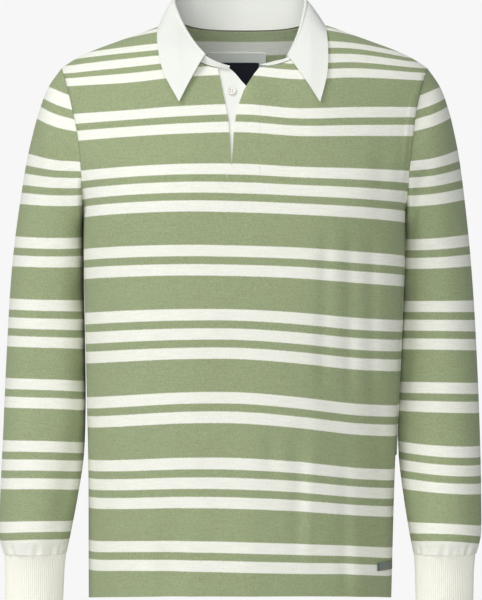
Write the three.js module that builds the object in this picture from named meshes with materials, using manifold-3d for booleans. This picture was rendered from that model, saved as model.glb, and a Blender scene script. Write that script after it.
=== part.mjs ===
// A knitted rugby-style polo sweater, hollow and filled out as when worn.
// Millimetres, +Z up, the front faces -Y. The origin is inside the neck, level with the top of
// the shoulders. Every piece of cloth is its own closed wall, 0.3 mm clear of its neighbours.
import * as THREE from "three";
import { mergeVertices } from "three/addons/utils/BufferGeometryUtils.js";
import Module from "manifold-3d";

// ---------------------------------------------------------------- driving sizes
const KNIT = 1.8; // wall of the body and sleeves
const RIB = 2.4; // wall of the cuffs
const SHIRTING = 1.3; // wall of the collar and the white underlap
const TAPE = 1.0; // wall of the sewn-in labels and the hem tab
const SEAM_GAP = 0.3; // clearance between pieces that are sewn together
const HALF_GAP = SEAM_GAP / 2;
const STAND_GAP = 1.35; // the neck seam curves more than its facets, so the stand starts higher

const HEM_Z = -720;
const UNDERARM_Z = -234;
const SHOULDER_TIP = { x: 230.5, z: -51.8 };
const ARMHOLE_CURVE = 2.3; // how long the armhole stays narrow before it runs out to the tip
const ARM_CLEARANCE = 1.2; // between the inside of a sleeve and the side of the body
const NECK_POINT = { x: 82, z: 5.5 }; // where the shoulder seam meets the collar
const FRONT_NECK_DROP = 66.5;
const BACK_NECK_DROP = 5;
const NECK_ROUND = 2.75; // superellipse power of the front neckline
const FRONT_PITCH = 14.5; // how far the chest's arc stops below the neck points at the centre
const BACK_PITCH = -40; // the back's arc would rise this far above them
const HEM_ARCH = 13; // rise of the knitted rows at the centre front and back
const ARCH_START_Z = -130; // the rows are level above this height
const ARCH_SPREAD = 340; // and have their whole rise this far below it
const ARMHOLE_DEPTH = 70; // how far the armhole reaches forward and back of the mid-plane
const ARMHOLE_LOW = 0.35; // share of its height over which the loop rounds out from the underarm
const YOKE_BLEND = 0.55; // share of its height by which the chest has opened out to its edge

// Body rings below the underarm: half the width, the reach to the front and the back, and the
// superellipse power that makes them fuller where the arms press on them.
const TORSO = [
  { z: -720, half: 190.8, front: 119, back: 113, round: 2.3 },
  { z: -650, half: 191.8, front: 119, back: 113, round: 2.3 },
  { z: -560, half: 193.2, front: 121, back: 111, round: 2.35 },
  { z: -470, half: 196.2, front: 123, back: 110, round: 2.4 },
  { z: -390, half: 198.8, front: 126, back: 113, round: 2.5 },
  { z: -300, half: 201.5, front: 129, back: 121, round: 2.7 },
  { z: -234, half: 202.5, front: 130, back: 125, round: 2.9 },
];
const UNDERARM_RING = TORSO[TORSO.length - 1];
const YOKE_ROUND = 2.3; // the same power where the chest rounds into the armholes

// Height of the shoulder seam at each distance from the centre.
const SHOULDER = [
  { x: 82, z: 5.5 },
  { x: 106, z: 0.8 },
  { x: 132, z: -8.5 },
  { x: 156, z: -17 },
  { x: 193, z: -30.8 },
  { x: 214, z: -41 },
  { x: 230.5, z: -51.8 },
];

// The shoulders and chest sit a little to one side and the cuffs to the other.
const LEAN = [
  { z: -720, body: -2.1, arms: -2.9 },
  { z: -640, body: -1.2, arms: -2.0 },
  { z: -520, body: 0.4, arms: -0.3 },
  { z: -390, body: 1.8, arms: 0.0 },
  { z: -300, body: 2.6, arms: 0.0 },
  { z: -207, body: 4.0, arms: 1.2 },
  { z: -150, body: 4.7, arms: 2.2 },
  { z: -110, body: 3.6, arms: 2.9 },
  { z: -50, body: 3.5, arms: 3.5 },
];

// Sleeve sections from the armhole to the cuff seam: the outermost and innermost point of each,
// its reach to the front and back, and how far its middle lies forward.
const SLEEVE = [
  { outX: 230.5, outZ: -51.8, inX: 199.5, inZ: -234, reach: 64, forward: 0 },
  { outX: 247.5, outZ: -76, inX: 201.4, inZ: -246, reach: 66, forward: -4 },
  { outX: 258.5, outZ: -104, inX: 201.3, inZ: -258, reach: 66, forward: -9 },
  { outX: 266.5, outZ: -133, inX: 201.2, inZ: -271, reach: 66, forward: -13 },
  { outX: 274.0, outZ: -167, inX: 201.0, inZ: -287, reach: 65, forward: -17 },
  { outX: 281.0, outZ: -212, inX: 200.9, inZ: -310, reach: 63, forward: -20 },
  { outX: 289.0, outZ: -276, inX: 200.4, inZ: -349, reach: 61, forward: -22 },
  { outX: 294.6, outZ: -345, inX: 199.3, inZ: -396, reach: 59, forward: -21 },
  { outX: 299.0, outZ: -440, inX: 197.9, inZ: -470, reach: 56, forward: -13 },
  { outX: 301.3, outZ: -526, inX: 198.6, inZ: -538, reach: 53, forward: 1 },
  { outX: 302.4, outZ: -586, inX: 204.8, inZ: -590, reach: 49, forward: 13 },
  { outX: 302.2, outZ: -636, inX: 212.6, inZ: -637, reach: 45, forward: 22 },
  { outX: 296.2, outZ: -661.8, inX: 217.4, inZ: -661.8, reach: 38, forward: 27 },
];

const CUFF = [
  { outX: 295.0, inX: 218.0, z: -662, reach: 36 },
  { outX: 293.6, inX: 219.6, z: -680, reach: 33 },
  { outX: 293.0, inX: 220.4, z: -705, reach: 32 },
  { outX: 292.4, inX: 220.8, z: -722, reach: 33 },
];
const CUFF_FORWARD = 27;

// Collar stations from the left front end round the back to the right front end. turn is the
// place on the neckline in degrees from the centre back, fold is the top of the stand, and edge
// the free edge of the turned-down leaf, which rests lift millimetres off the body. The stand
// runs on past the leaf's ends to the edges of the front opening.
const COLLAR = [
  { turn: -172, fold: [-14.5, -85, -56.4] },
  { turn: -163, fold: [-29.3, -85, -51.6] },
  { turn: -152, fold: [-45.3, -81.5, -42.9], edge: [-76.9, -101.6], lift: 5 },
  { turn: -136, fold: [-57, -68.5, -29.2], edge: [-96.4, -64.5], lift: 4 },
  { turn: -118, fold: [-69.7, -46, -9.4], edge: [-103.1, -37.6], lift: 3.5 },
  { turn: -103, fold: [-80, -24, 11.6], edge: [-105.8, -12.4], lift: 3 },
  { turn: -87, fold: [-86.5, 6, 33], edge: [-103, 2.5], lift: 3 },
  { turn: -66, fold: [-79, 34, 39], edge: [-93, -8], lift: 3 },
  { turn: -45, fold: [-61, 55, 42], edge: [-68, -9], lift: 3 },
  { turn: 0, fold: [0, 74, 44.5], edge: [0, -8], lift: 3 },
  { turn: 45, fold: [58, 55, 42], edge: [67, -9], lift: 3 },
  { turn: 66, fold: [75, 34, 39], edge: [92, -8], lift: 3 },
  { turn: 87, fold: [81.5, 6, 33], edge: [104, 2.5], lift: 3 },
  { turn: 103, fold: [78, -24, 11.6], edge: [106.2, -12.4], lift: 3 },
  { turn: 118, fold: [72.5, -46, -9.4], edge: [107.1, -37.6], lift: 3.5 },
  { turn: 134, fold: [64.8, -62, -28.5], edge: [105.2, -66.3], lift: 4 },
  { turn: 146, fold: [56.8, -73.5, -44], edge: [96.3, -102], lift: 5 },
  { turn: 157, fold: [40.5, -77.5, -50.4] },
  { turn: 166, fold: [25, -80, -54.2] },
];
// The leaf across its width: the share of the way from fold to edge, how far it stands off the
// straight line there, and how far above it.
const LEAF_SECTION = [
  { along: 0, off: -0.6, over: 2.5 },
  { along: 0.02, off: 2.7, over: 1.4 },
  { along: 0.3, off: 3.2, over: 0 },
  { along: 0.65, off: 2.2, over: 0 },
  { along: 1, off: 0, over: 0 },
];

// The front opening: the body's own edge on one side, the free overlap on the other.
const OPENING_LEFT = [
  { x: -30.5, z: -40 },
  { x: -29.5, z: -60 },
  { x: -26.8, z: -71.4 },
  { x: -20.5, z: -103 },
  { x: -16.8, z: -122 },
  { x: -14.3, z: -149.3 },
  { x: -12.9, z: -181 },
];
const OPENING_RIGHT = [
  { x: -11.9, z: -181 },
  { x: -9.8, z: -140.8 },
  { x: -7.0, z: -119 },
  { x: -2.4, z: -100.8 },
  { x: 4.5, z: -83 },
  { x: 15.1, z: -66.2 },
  { x: 22, z: -57 },
  { x: 24, z: -40 },
];
const UNDERLAP = [
  { z: -62.5, left: -33, right: -12 },
  { z: -71.4, left: -31, right: -3.6 },
  { z: -81.7, left: -29, right: 5 },
  { z: -92.0, left: -28, right: 9 },
  { z: -112.0, left: -25, right: 9 },
  { z: -134.0, left: -22, right: 9 },
  { z: -156.0, left: -20, right: 8 },
  { z: -189.0, left: -19, right: 8 },
];
const BUTTON = { x: -12.4, z: -87.5, radius: 5.6, height: 2.2, hole: 0.8, holeAt: 1.5 };
const NECK_PATCH = { left: -45, right: 31.5, top: -24.6, bottom: -86 };
const NECK_LABEL = { left: -32, right: 22.5, top: -36.8, bottom: -78 };
const HEM_TAB = { left: 167.5, right: 186.5, top: -671.5, bottom: -681.5 };

// The largest soft folds: where each runs, how wide it is and how deep it sinks (or, with a
// minus, stands proud). Each fades in below its top and out above its bottom.
const FOLD_FADE_IN = 90;
const FOLD_FADE_OUT = 60;
const FRONT_FOLDS = [
  { x: 34, top: -470, bottom: -740, width: 34, depth: 2.6 },
  { x: 112, top: -330, bottom: -600, width: 38, depth: 2.4 },
  { x: -78, top: -560, bottom: -740, width: 36, depth: -2.2 },
  { x: 152, top: -520, bottom: -740, width: 30, depth: -2.4 },
  { x: -165, top: -110, bottom: -260, width: 26, depth: 2.6 },
  { x: 168, top: -110, bottom: -270, width: 26, depth: 3.0 },
];
const BACK_FOLDS = [
  { x: -60, top: -400, bottom: -740, width: 40, depth: 3.0 },
  { x: 48, top: -470, bottom: -740, width: 36, depth: 2.4 },
  { x: 128, top: -360, bottom: -740, width: 34, depth: -2.4 },
  { x: -142, top: -420, bottom: -740, width: 32, depth: -2.0 },
  { x: -150, top: -100, bottom: -270, width: 30, depth: 3.2 },
  { x: 150, top: -100, bottom: -270, width: 30, depth: 3.0 },
];

// How finely the walls are faceted.
const PANEL_COLUMNS = 20;
const NECK_COLUMNS = 10; // of those, the ones that end on the neckline
const BODY_ROWS = 12;
const YOKE_ROWS = 11;
const SLEEVE_ROWS = 16;
const CUFF_ROWS = 2;
const STATION_STEPS = 3; // columns of the collar from one station to the next
const STAND_ROWS = 2;
const FAR = 400; // beyond the cloth on every side

// ---------------------------------------------------------------- small helpers
const vec = (x, y, z) => new THREE.Vector3(x, y, z);
const smooth = (t) => {
  const c = THREE.MathUtils.clamp(t, 0, 1);
  return c * c * (3 - 2 * c);
};
const mix = THREE.MathUtils.lerp;
const signedPower = (v, power) => Math.sign(v) * Math.abs(v) ** power;
const steps = (count) => Array.from({ length: count + 1 }, (_, i) => i / count);

// Reads a named column of a table at a place between its rows, without kinks.
function readTable(rows, key, column, at) {
  const rising = rows[rows.length - 1][key] > rows[0][key];
  const sorted = rising ? rows : [...rows].reverse();
  const last = sorted.length - 1;
  let i = 0;
  while (i < last - 1 && sorted[i + 1][key] < at) i += 1;
  const span = sorted[i + 1][key] - sorted[i][key];
  const t = THREE.MathUtils.clamp((at - sorted[i][key]) / span, 0, 1);
  const slope = (j) => {
    const low = Math.max(j - 1, 0);
    const high = Math.min(j + 1, last);
    return (sorted[high][column] - sorted[low][column]) / (sorted[high][key] - sorted[low][key]);
  };
  const rise = 1 - 3 * t * t + 2 * t * t * t;
  return (
    sorted[i][column] * rise +
    sorted[i + 1][column] * (1 - rise) +
    slope(i) * span * (t - 2 * t * t + t * t * t) +
    slope(i + 1) * span * (t * t * t - t * t)
  );
}

// Numbers the rows of a table so that it can be read by its share of the way along.
const byShare = (rows) => rows.map((row, i) => ({ ...row, share: i / (rows.length - 1) }));

const leanAt = (z) => readTable(LEAN, "z", "body", z);
const armLeanAt = (z) => readTable(LEAN, "z", "arms", z);

// ---------------------------------------------------------------- the body's form
function foldRelief(folds, x, z) {
  return folds.reduce((sum, fold) => {
    const across = Math.exp(-(((x - fold.x) / (fold.width / 2)) ** 2));
    const fadeIn = smooth((fold.top - z) / FOLD_FADE_IN);
    const along = fadeIn * smooth((z - fold.bottom) / FOLD_FADE_OUT);
    return sum + fold.depth * across * along;
  }, 0);
}

const ridgeAt = (x) => readTable(SHOULDER, "x", "z", Math.abs(x));

// The height at which the chest's or the back's arc would close over the shoulder.
function closingHeight(x, isFront) {
  if (Math.abs(x) >= NECK_POINT.x) return ridgeAt(x);
  const pitch = isFront ? FRONT_PITCH : BACK_PITCH;
  return NECK_POINT.z - pitch * (1 - (x / NECK_POINT.x) ** 2);
}

// Share of the way from the underarm to the shoulder tip, for a height.
const armholeShare = (z) =>
  THREE.MathUtils.clamp((z - UNDERARM_Z) / (SHOULDER_TIP.z - UNDERARM_Z), 0, 1);

// Distance of the armhole seam from the centre.
const armholeX = (z) =>
  mix(UNDERARM_RING.half, SHOULDER_TIP.x, armholeShare(z) ** ARMHOLE_CURVE);

// Depth of the armhole loop before the shoulder rounds it off.
function armholeDepth(z) {
  const low = THREE.MathUtils.clamp(1 - armholeShare(z) / ARMHOLE_LOW, 0, 1);
  return ARMHOLE_DEPTH * Math.sqrt(1 - low * low);
}

const capShare = (h) => Math.sqrt(Math.max(0, 1 - h * h));

// Reach of the cloth in front of (or behind) the mid-plane, at x from the centre and height z.
function reachAt(x, z, isFront) {
  const side = isFront ? "front" : "back";
  const relief = foldRelief(isFront ? FRONT_FOLDS : BACK_FOLDS, x, z);
  if (z <= UNDERARM_Z) {
    const ring = (column) => readTable(TORSO, "z", column, z);
    const across = THREE.MathUtils.clamp(Math.abs(x) / ring("half"), 0, 1);
    const arc = (1 - across ** ring("round")) ** (1 / ring("round"));
    return ring(side) * arc - relief * Math.min(1, 1.5 * arc);
  }
  const deepest = UNDERARM_RING[side];
  const across = THREE.MathUtils.clamp(Math.abs(x) / armholeX(z), 0, 1);
  const edge = armholeDepth(z);
  const ringArc = (1 - across ** UNDERARM_RING.round) ** (1 / UNDERARM_RING.round);
  const closed = ((deepest * ringArc) ** 4 + edge ** 4) ** (1 / 4);
  const open = edge + (deepest - edge) * (1 - across ** YOKE_ROUND);
  const h = (z - UNDERARM_Z) / (closingHeight(x, isFront) - UNDERARM_Z);
  const opening = smooth(armholeShare(z) / YOKE_BLEND);
  return (mix(closed, open, opening) - relief * ringArc) * capShare(h);
}

// A point of the body at x from the centre line (before the lean) and height z.
function bodyPoint(x, z, isFront) {
  const reach = reachAt(x, z, isFront);
  return vec(x + leanAt(z), isFront ? -reach : reach, z);
}

// A point of the neckline, turn degrees from the centre back.
function neckPoint(turn) {
  const angle = THREE.MathUtils.degToRad(Math.abs(turn));
  const isFront = Math.abs(turn) > 90;
  const power = isFront ? 2 / NECK_ROUND : 0.85;
  const drop = isFront ? FRONT_NECK_DROP : BACK_NECK_DROP;
  const x = NECK_POINT.x * Math.sin(angle) ** power;
  const z = NECK_POINT.z - drop * Math.abs(Math.cos(angle)) ** power;
  return bodyPoint(x * Math.sign(turn || 1), z, isFront);
}

// The armhole seam of one side. way runs 0 to 1 from the underarm up to the shoulder tip.
// It gives the seam's point, the way out of the cloth there, and the way to the sleeve.
function armholeSeam(sign, way, isFront) {
  const face = isFront ? -1 : 1;
  const place = (w) => {
    const z = mix(UNDERARM_Z, SHOULDER_TIP.z, (1 - Math.cos(Math.PI * w)) / 2);
    const reach = armholeDepth(z) * capShare(armholeShare(z));
    return vec(sign * armholeX(z) + leanAt(z), face * reach, z);
  };
  const point = place(way);
  const middle = (UNDERARM_Z + SHOULDER_TIP.z) / 2;
  const share = armholeShare(point.z);
  const out = vec(0, point.y, point.z - middle).normalize();
  out.x = sign * 0.36 * smooth(share * 1.6);
  out.normalize();
  const along = place(Math.min(way + 0.01, 1)).sub(place(Math.max(way - 0.01, 0)));
  if (way === 0 || way === 1) along.set(0, 1, 0);
  const toSleeve = along.cross(out).normalize();
  if (toSleeve.x * sign < 0) toSleeve.negate();
  return { point, out, toSleeve };
}

// ---------------------------------------------------------------- walls
// Unit normals of a grid of points, pointing the same way as the given outward hint.
function gridNormals(grid, wraps, hint) {
  const lastRow = grid.length - 1;
  const columns = grid[0].length;
  return grid.map((row, i) =>
    row.map((point, j) => {
      const right = wraps ? (j + 1) % columns : Math.min(j + 1, columns - 1);
      const left = wraps ? (j - 1 + columns) % columns : Math.max(j - 1, 0);
      const across = row[right].clone().sub(row[left]);
      const up = grid[Math.min(i + 1, lastRow)][j].clone().sub(grid[Math.max(i - 1, 0)][j]);
      const normal = across.cross(up).normalize();
      return normal.dot(hint(point, i, j)) < 0 ? normal.negate() : normal;
    }),
  );
}

// A closed wall between two grids of points of the same size.
function wallGeometry(outer, inner, wraps) {
  const rows = outer.length;
  const columns = outer[0].length;
  const positions = [...outer.flat(), ...inner.flat()].flatMap((p) => [p.x, p.y, p.z]);
  const at = (layer, i, j) => layer * rows * columns + i * columns + (j % columns);
  const faces = [];
  const quad = (a, b, c, d) => faces.push(a, b, c, a, c, d);
  const lastColumn = wraps ? columns : columns - 1;
  for (let i = 0; i < rows - 1; i += 1) {
    for (let j = 0; j < lastColumn; j += 1) {
      quad(at(0, i, j), at(0, i, j + 1), at(0, i + 1, j + 1), at(0, i + 1, j));
      quad(at(1, i, j), at(1, i + 1, j), at(1, i + 1, j + 1), at(1, i, j + 1));
    }
  }
  for (let j = 0; j < lastColumn; j += 1) {
    quad(at(0, 0, j + 1), at(0, 0, j), at(1, 0, j), at(1, 0, j + 1));
    const top = rows - 1;
    quad(at(0, top, j), at(0, top, j + 1), at(1, top, j + 1), at(1, top, j));
  }
  for (let i = 0; i < rows - 1 && !wraps; i += 1) {
    const end = columns - 1;
    quad(at(0, i, 0), at(0, i + 1, 0), at(1, i + 1, 0), at(1, i, 0));
    quad(at(0, i + 1, end), at(0, i, end), at(1, i, end), at(1, i + 1, end));
  }
  return facingOut(positions, faces);
}

// Turns the faces round if they enclose a negative volume.
function facingOut(positions, faces) {
  const corner = (n) => vec(...positions.slice(3 * n, 3 * n + 3));
  let volume = 0;
  for (let f = 0; f < faces.length; f += 3) {
    const [a, b, c] = [corner(faces[f]), corner(faces[f + 1]), corner(faces[f + 2])];
    volume += a.dot(b.cross(c));
  }
  const geometry = new THREE.BufferGeometry();
  geometry.setAttribute("position", new THREE.Float32BufferAttribute(positions, 3));
  geometry.setIndex(volume < 0 ? [...faces].reverse() : faces);
  return geometry;
}

// The inner grid of a wall: every point moved in against its normal.
const movedIn = (grid, normals, distance) =>
  grid.map((row, i) => row.map((p, j) => p.clone().addScaledVector(normals[i][j], -distance)));

// ---------------------------------------------------------------- front and back
// Columns run from one side to the other; rows from the hem up to the shoulders and neck.
function panelGrid(isFront) {
  const face = isFront ? -1 : 1;
  const outer = [];
  const fixedNormals = [];
  const columnAngle = (u) => (Math.PI * (1 - u)) / 2;
  const ringShare = (u, z) => {
    const round = readTable(TORSO, "z", "round", Math.min(z, UNDERARM_Z));
    return signedPower(Math.cos(columnAngle(u)), 2 / round);
  };
  const neckShare = NECK_COLUMNS / PANEL_COLUMNS;
  const topPlace = (u) => {
    const size = Math.abs(u);
    if (size > neckShare - 1e-6) {
      const t = (size - neckShare) / (1 - neckShare);
      const x = mix(NECK_POINT.x, SHOULDER_TIP.x, t);
      return { x: Math.sign(u) * x, z: ridgeAt(x), onShoulder: true };
    }
    const turn = isFront ? 180 - (90 * size) / neckShare : (90 * size) / neckShare;
    const seam = neckPoint(turn * (u < 0 ? -1 : 1));
    return { x: seam.x - leanAt(seam.z), z: seam.z, onShoulder: false };
  };
  const columns = steps(PANEL_COLUMNS).map((t) => 2 * t - 1);
  const archAt = (u, z) =>
    HEM_ARCH * Math.sin(columnAngle(u)) * smooth((ARCH_START_Z - z) / ARCH_SPREAD);
  for (const t of steps(BODY_ROWS)) {
    const level = mix(HEM_Z, UNDERARM_Z, t);
    outer.push(
      columns.map((u) => {
        const z = level + archAt(u, level);
        const half = readTable(TORSO, "z", "half", Math.min(z, UNDERARM_Z));
        const x = half * ringShare(u, z);
        const point = bodyPoint(x, Math.min(z, UNDERARM_Z), isFront);
        point.z = z;
        if (Math.abs(u) === 1) point.y = face * HALF_GAP;
        return point;
      }),
    );
    fixedNormals.push(
      columns.map((u) => (Math.abs(u) === 1 && t < 1 ? vec(u, 0, 0) : null)),
    );
  }
  for (const t of steps(YOKE_ROWS).slice(1)) {
    const normals = [];
    const row = columns.map((u) => {
      const size = Math.abs(u);
      if (size === 1) {
        const seam = armholeSeam(u, t, isFront);
        normals.push(seam.out);
        const point = seam.point.addScaledVector(seam.toSleeve, -HALF_GAP);
        if (t === 1) point.y = face * HALF_GAP;
        return point;
      }
      const top = topPlace(u);
      const base = UNDERARM_Z + archAt(u, UNDERARM_Z);
      const rise = mix(Math.sin((Math.PI * t) / 2), t, smooth((neckShare + 0.1 - size) / 0.3));
      const bent = mix(rise, (1 - Math.cos(Math.PI * t)) / 2, size ** 8);
      const z = mix(base, top.z, bent);
      const topHalf = top.x / armholeX(top.z);
      const x = armholeX(z) * mix(ringShare(u, z), topHalf, smooth(t));
      const point = bodyPoint(t === 1 ? top.x : x, z, isFront);
      if (t === 1 && top.onShoulder) {
        point.y = face * HALF_GAP;
        const slope = (ridgeAt(top.x + 1) - ridgeAt(top.x - 1)) / 2;
        normals.push(vec(-slope, 0, 1).normalize());
      } else {
        normals.push(null);
      }
      return point;
    });
    outer.push(row);
    fixedNormals.push(normals);
  }
  const seamRow = BODY_ROWS;
  [0, PANEL_COLUMNS].forEach((j) => {
    fixedNormals[seamRow][j] = vec(0, 0, -1);
  });
  const hint = () => vec(0, face, 0.4);
  const normals = gridNormals(outer, false, hint).map((row, i) =>
    row.map((n, j) => fixedNormals[i][j] ?? n),
  );
  return { outer, normals };
}

function panelGeometry(isFront) {
  const { outer, normals } = panelGrid(isFront);
  return wallGeometry(outer, movedIn(outer, normals, KNIT), false);
}

// ---------------------------------------------------------------- boolean cut
const wasm = await Module();
wasm.setup();

function solidFrom(geometry) {
  const plain = geometry.clone();
  plain.deleteAttribute("normal");
  plain.deleteAttribute("uv");
  const merged = mergeVertices(plain, 1e-3);
  return new wasm.Manifold(
    new wasm.Mesh({
      numProp: 3,
      vertProperties: merged.attributes.position.array,
      triVerts: new Uint32Array(merged.index.array),
    }),
  );
}

function geometryFrom(solid) {
  const mesh = solid.getMesh();
  const geometry = new THREE.BufferGeometry();
  geometry.setAttribute("position", new THREE.BufferAttribute(mesh.vertProperties, 3));
  geometry.setIndex(new THREE.BufferAttribute(mesh.triVerts, 1));
  return geometry;
}

// A straight cutter with the outline of the front opening, reaching through the front only.
function openingCutter() {
  const shape = new THREE.Shape();
  [...OPENING_LEFT, ...OPENING_RIGHT].forEach((p, i) => {
    if (i === 0) shape.moveTo(p.x, p.z);
    else shape.lineTo(p.x, p.z);
  });
  const depth = 150;
  const cutter = new THREE.ExtrudeGeometry(shape, { depth, bevelEnabled: false });
  cutter.rotateX(Math.PI / 2);
  return cutter.translate(0, -20, 0);
}

// ---------------------------------------------------------------- sleeves and cuffs
const sleeveTable = byShare(SLEEVE);
const readSleeve = (column, t) => readTable(sleeveTable, "share", column, t);
const AROUND = 2 * YOKE_ROWS; // the sleeve's columns meet the armhole's rows

// The side of the body, as far out as it is at height z.
const bodySide = (sign, z) => readTable(TORSO, "z", "half", z) + sign * leanAt(z);

// A point of a plain oval section; angle 0 is its outer side and 90 degrees its front.
function ovalPoint(sign, section, angle) {
  const nearest = bodySide(sign, section.inZ) + ARM_CLEARANCE - sign * armLeanAt(section.inZ);
  const inX = Math.max(section.inX, nearest);
  const middleX = (section.outX + inX) / 2;
  const middleZ = (section.outZ + section.inZ) / 2;
  const c = Math.cos(angle);
  const x = middleX + ((section.outX - inX) / 2) * c;
  const z = middleZ + ((section.outZ - section.inZ) / 2) * c;
  const y = -section.forward - section.reach * Math.sin(angle);
  return vec(sign * x + armLeanAt(z), y, z);
}

// Soft folds across the inside of the elbow and above the cuff.
function sleeveRelief(t, angle) {
  const elbow = 2.4 * Math.exp(-(((t - 0.62) / 0.03) ** 2));
  const above = 1.8 * Math.exp(-(((t - 0.72) / 0.025) ** 2));
  const wrist = -2.2 * Math.exp(-(((t - 0.93) / 0.03) ** 2));
  return (elbow + above + wrist) * (0.5 - 0.5 * Math.cos(angle + 0.5));
}

function sleeveGeometry(sign) {
  const readRow = (t) => ({
    outX: readSleeve("outX", t),
    outZ: readSleeve("outZ", t),
    inX: readSleeve("inX", t),
    inZ: readSleeve("inZ", t),
    reach: readSleeve("reach", t),
    forward: readSleeve("forward", t),
  });
  const angles = steps(AROUND).slice(0, -1).map((t) => 2 * Math.PI * t);
  const seams = angles.map((_, j) => {
    const isFront = j <= YOKE_ROWS;
    const way = 1 - (isFront ? j : AROUND - j) / YOKE_ROWS;
    return armholeSeam(sign, way, isFront);
  });
  const first = readRow(0);
  const outer = steps(SLEEVE_ROWS).map((t) => {
    const section = readRow(t);
    const fade = (1 - smooth(t / 0.3)) ** 2;
    return angles.map((angle, j) => {
      if (t === 0) {
        return seams[j].point.clone().addScaledVector(seams[j].toSleeve, HALF_GAP);
      }
      const start = seams[j].point.clone().sub(ovalPoint(sign, first, angle));
      const point = ovalPoint(sign, section, angle).addScaledVector(start, fade);
      const side = vec(sign * Math.cos(angle), -Math.sin(angle), 0);
      return point.addScaledVector(side, -sleeveRelief(t, angle));
    });
  });
  const hint = (_, i, j) => {
    const angle = angles[j];
    return vec(sign * Math.cos(angle), -Math.sin(angle), i < 4 ? Math.cos(angle) : 0);
  };
  const normals = gridNormals(outer, true, hint);
  normals[0] = seams.map((seam) => seam.out);
  return wallGeometry(outer, movedIn(outer, normals, KNIT), true);
}

function cuffGeometry(sign) {
  const angles = steps(AROUND).slice(0, -1).map((t) => 2 * Math.PI * t);
  const ring = (z, inset) =>
    angles.map((angle) => {
      const section = {
        outX: readTable(CUFF, "z", "outX", z) - inset,
        inX: readTable(CUFF, "z", "inX", z) + inset,
        outZ: z,
        inZ: z,
        reach: readTable(CUFF, "z", "reach", z) - inset,
        forward: CUFF_FORWARD,
      };
      return ovalPoint(sign, section, angle);
    });
  const top = CUFF[0].z - HALF_GAP;
  const bottom = CUFF[CUFF.length - 1].z;
  const heights = steps(CUFF_ROWS).map((t) => mix(top, bottom, t));
  return wallGeometry(
    heights.map((z) => ring(z, 0)),
    heights.map((z) => ring(z, RIB)),
    true,
  );
}

// ---------------------------------------------------------------- collar
const foldPoint = (row) => vec(...row.fold);

// Points along a smooth curve through one point for each station.
function alongStations(points) {
  const curve = new THREE.CatmullRomCurve3(points, false, "centripetal");
  return steps(STATION_STEPS * (points.length - 1)).map((t) => curve.getPoint(t));
}

// Moves a point away from the body until it is at least the given distance clear in depth.
function clearOfBody(point, distance) {
  const x = point.x - leanAt(point.z);
  const isFront = point.y < 0;
  if (Math.abs(x) < SHOULDER_TIP.x && point.z < closingHeight(x, isFront)) {
    const reach = reachAt(x, point.z, isFront) + distance;
    point.y = isFront ? Math.min(point.y, -reach) : Math.max(point.y, reach);
  }
  return point;
}

function edgePoint(row) {
  const [x, z] = row.edge;
  const isFront = Math.abs(row.turn) > 90;
  if (z >= ridgeAt(x)) return vec(x, 0, z);
  const point = bodyPoint(x - leanAt(z), z, isFront);
  point.y += (isFront ? -1 : 1) * row.lift;
  return point;
}

// The neckline as the panels' straight edges make it, so that the stand fits on their facets.
function facetedNeckPoint(turn) {
  const step = 180 / NECK_COLUMNS;
  const low = Math.floor(turn / step) * step;
  return neckPoint(low).lerp(neckPoint(Math.min(low + step, 180)), (turn - low) / step);
}

function standGeometry() {
  const seam = alongStations(COLLAR.map((row) => vec(row.turn, 0, 0))).map((p) =>
    facetedNeckPoint(p.x),
  );
  const fold = alongStations(COLLAR.map(foldPoint));
  const last = seam.length - 1;
  const base = seam.map((p, j) => {
    const along = seam[Math.min(j + 1, last)].clone().sub(seam[Math.max(j - 1, 0)]);
    along.normalize();
    const up = fold[j].clone().sub(p);
    up.addScaledVector(along, -up.dot(along)).normalize();
    const inward = vec(-p.x, -p.y, 0).normalize();
    return p.clone().addScaledVector(up, STAND_GAP).addScaledVector(inward, SEAM_GAP);
  });
  const outer = steps(STAND_ROWS).map((t) => base.map((p, j) => p.clone().lerp(fold[j], t)));
  const normals = gridNormals(outer, false, (p) => vec(p.x, p.y, 0));
  return wallGeometry(outer, movedIn(outer, normals, SHIRTING), false);
}

function leafGeometry() {
  const firstStation = COLLAR.findIndex((row) => row.edge);
  const leafStations = COLLAR.filter((row) => row.edge);
  const start = STATION_STEPS * firstStation;
  const count = STATION_STEPS * (leafStations.length - 1) + 1;
  const fold = alongStations(COLLAR.map(foldPoint)).slice(start, start + count);
  const edge = alongStations(leafStations.map(edgePoint));
  const outer = LEAF_SECTION.map(({ along, off, over }, i) =>
    fold.map((p, j) => {
      const away = vec(p.x, p.y, 0).normalize();
      const point = p.clone().lerp(edge[j], along).addScaledVector(away, off);
      point.z += over;
      return i < 2 ? point : clearOfBody(point, SHIRTING + 1.6);
    }),
  );
  const normals = gridNormals(outer, false, (p) => vec(p.x, p.y, 20));
  normals[0] = normals[0].map(() => vec(0, 0, 1));
  return wallGeometry(outer, movedIn(outer, normals, SHIRTING), false);
}

// ---------------------------------------------------------------- pieces laid on a panel
const caster = new THREE.Raycaster();

// Where a line along Y first meets a wall, and the way out of that wall's surface.
function touch(mesh, x, z, startY, wayY) {
  caster.set(vec(x, startY, z), vec(0, wayY, 0));
  const [hit] = caster.intersectObject(mesh);
  return { point: hit.point, out: hit.face.normal.clone() };
}

// A strip that lies on a wall's facets, with its columns between the left and right of each row.
function laidStrip(mesh, rows, columns, startY, wayY, wall, gap = SEAM_GAP) {
  const touches = rows.map(({ z, left, right }) =>
    steps(columns).map((t) => touch(mesh, mix(left, right, t), z, startY, wayY)),
  );
  const layer = (lift) =>
    touches.map((row) => row.map(({ point, out }) => point.clone().addScaledVector(out, lift)));
  return wallGeometry(layer(gap), layer(gap + wall), false);
}

const rectangleRows = (size, count) =>
  steps(count).map((t) => ({
    z: mix(size.top, size.bottom, t),
    left: size.left,
    right: size.right,
  }));

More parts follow.
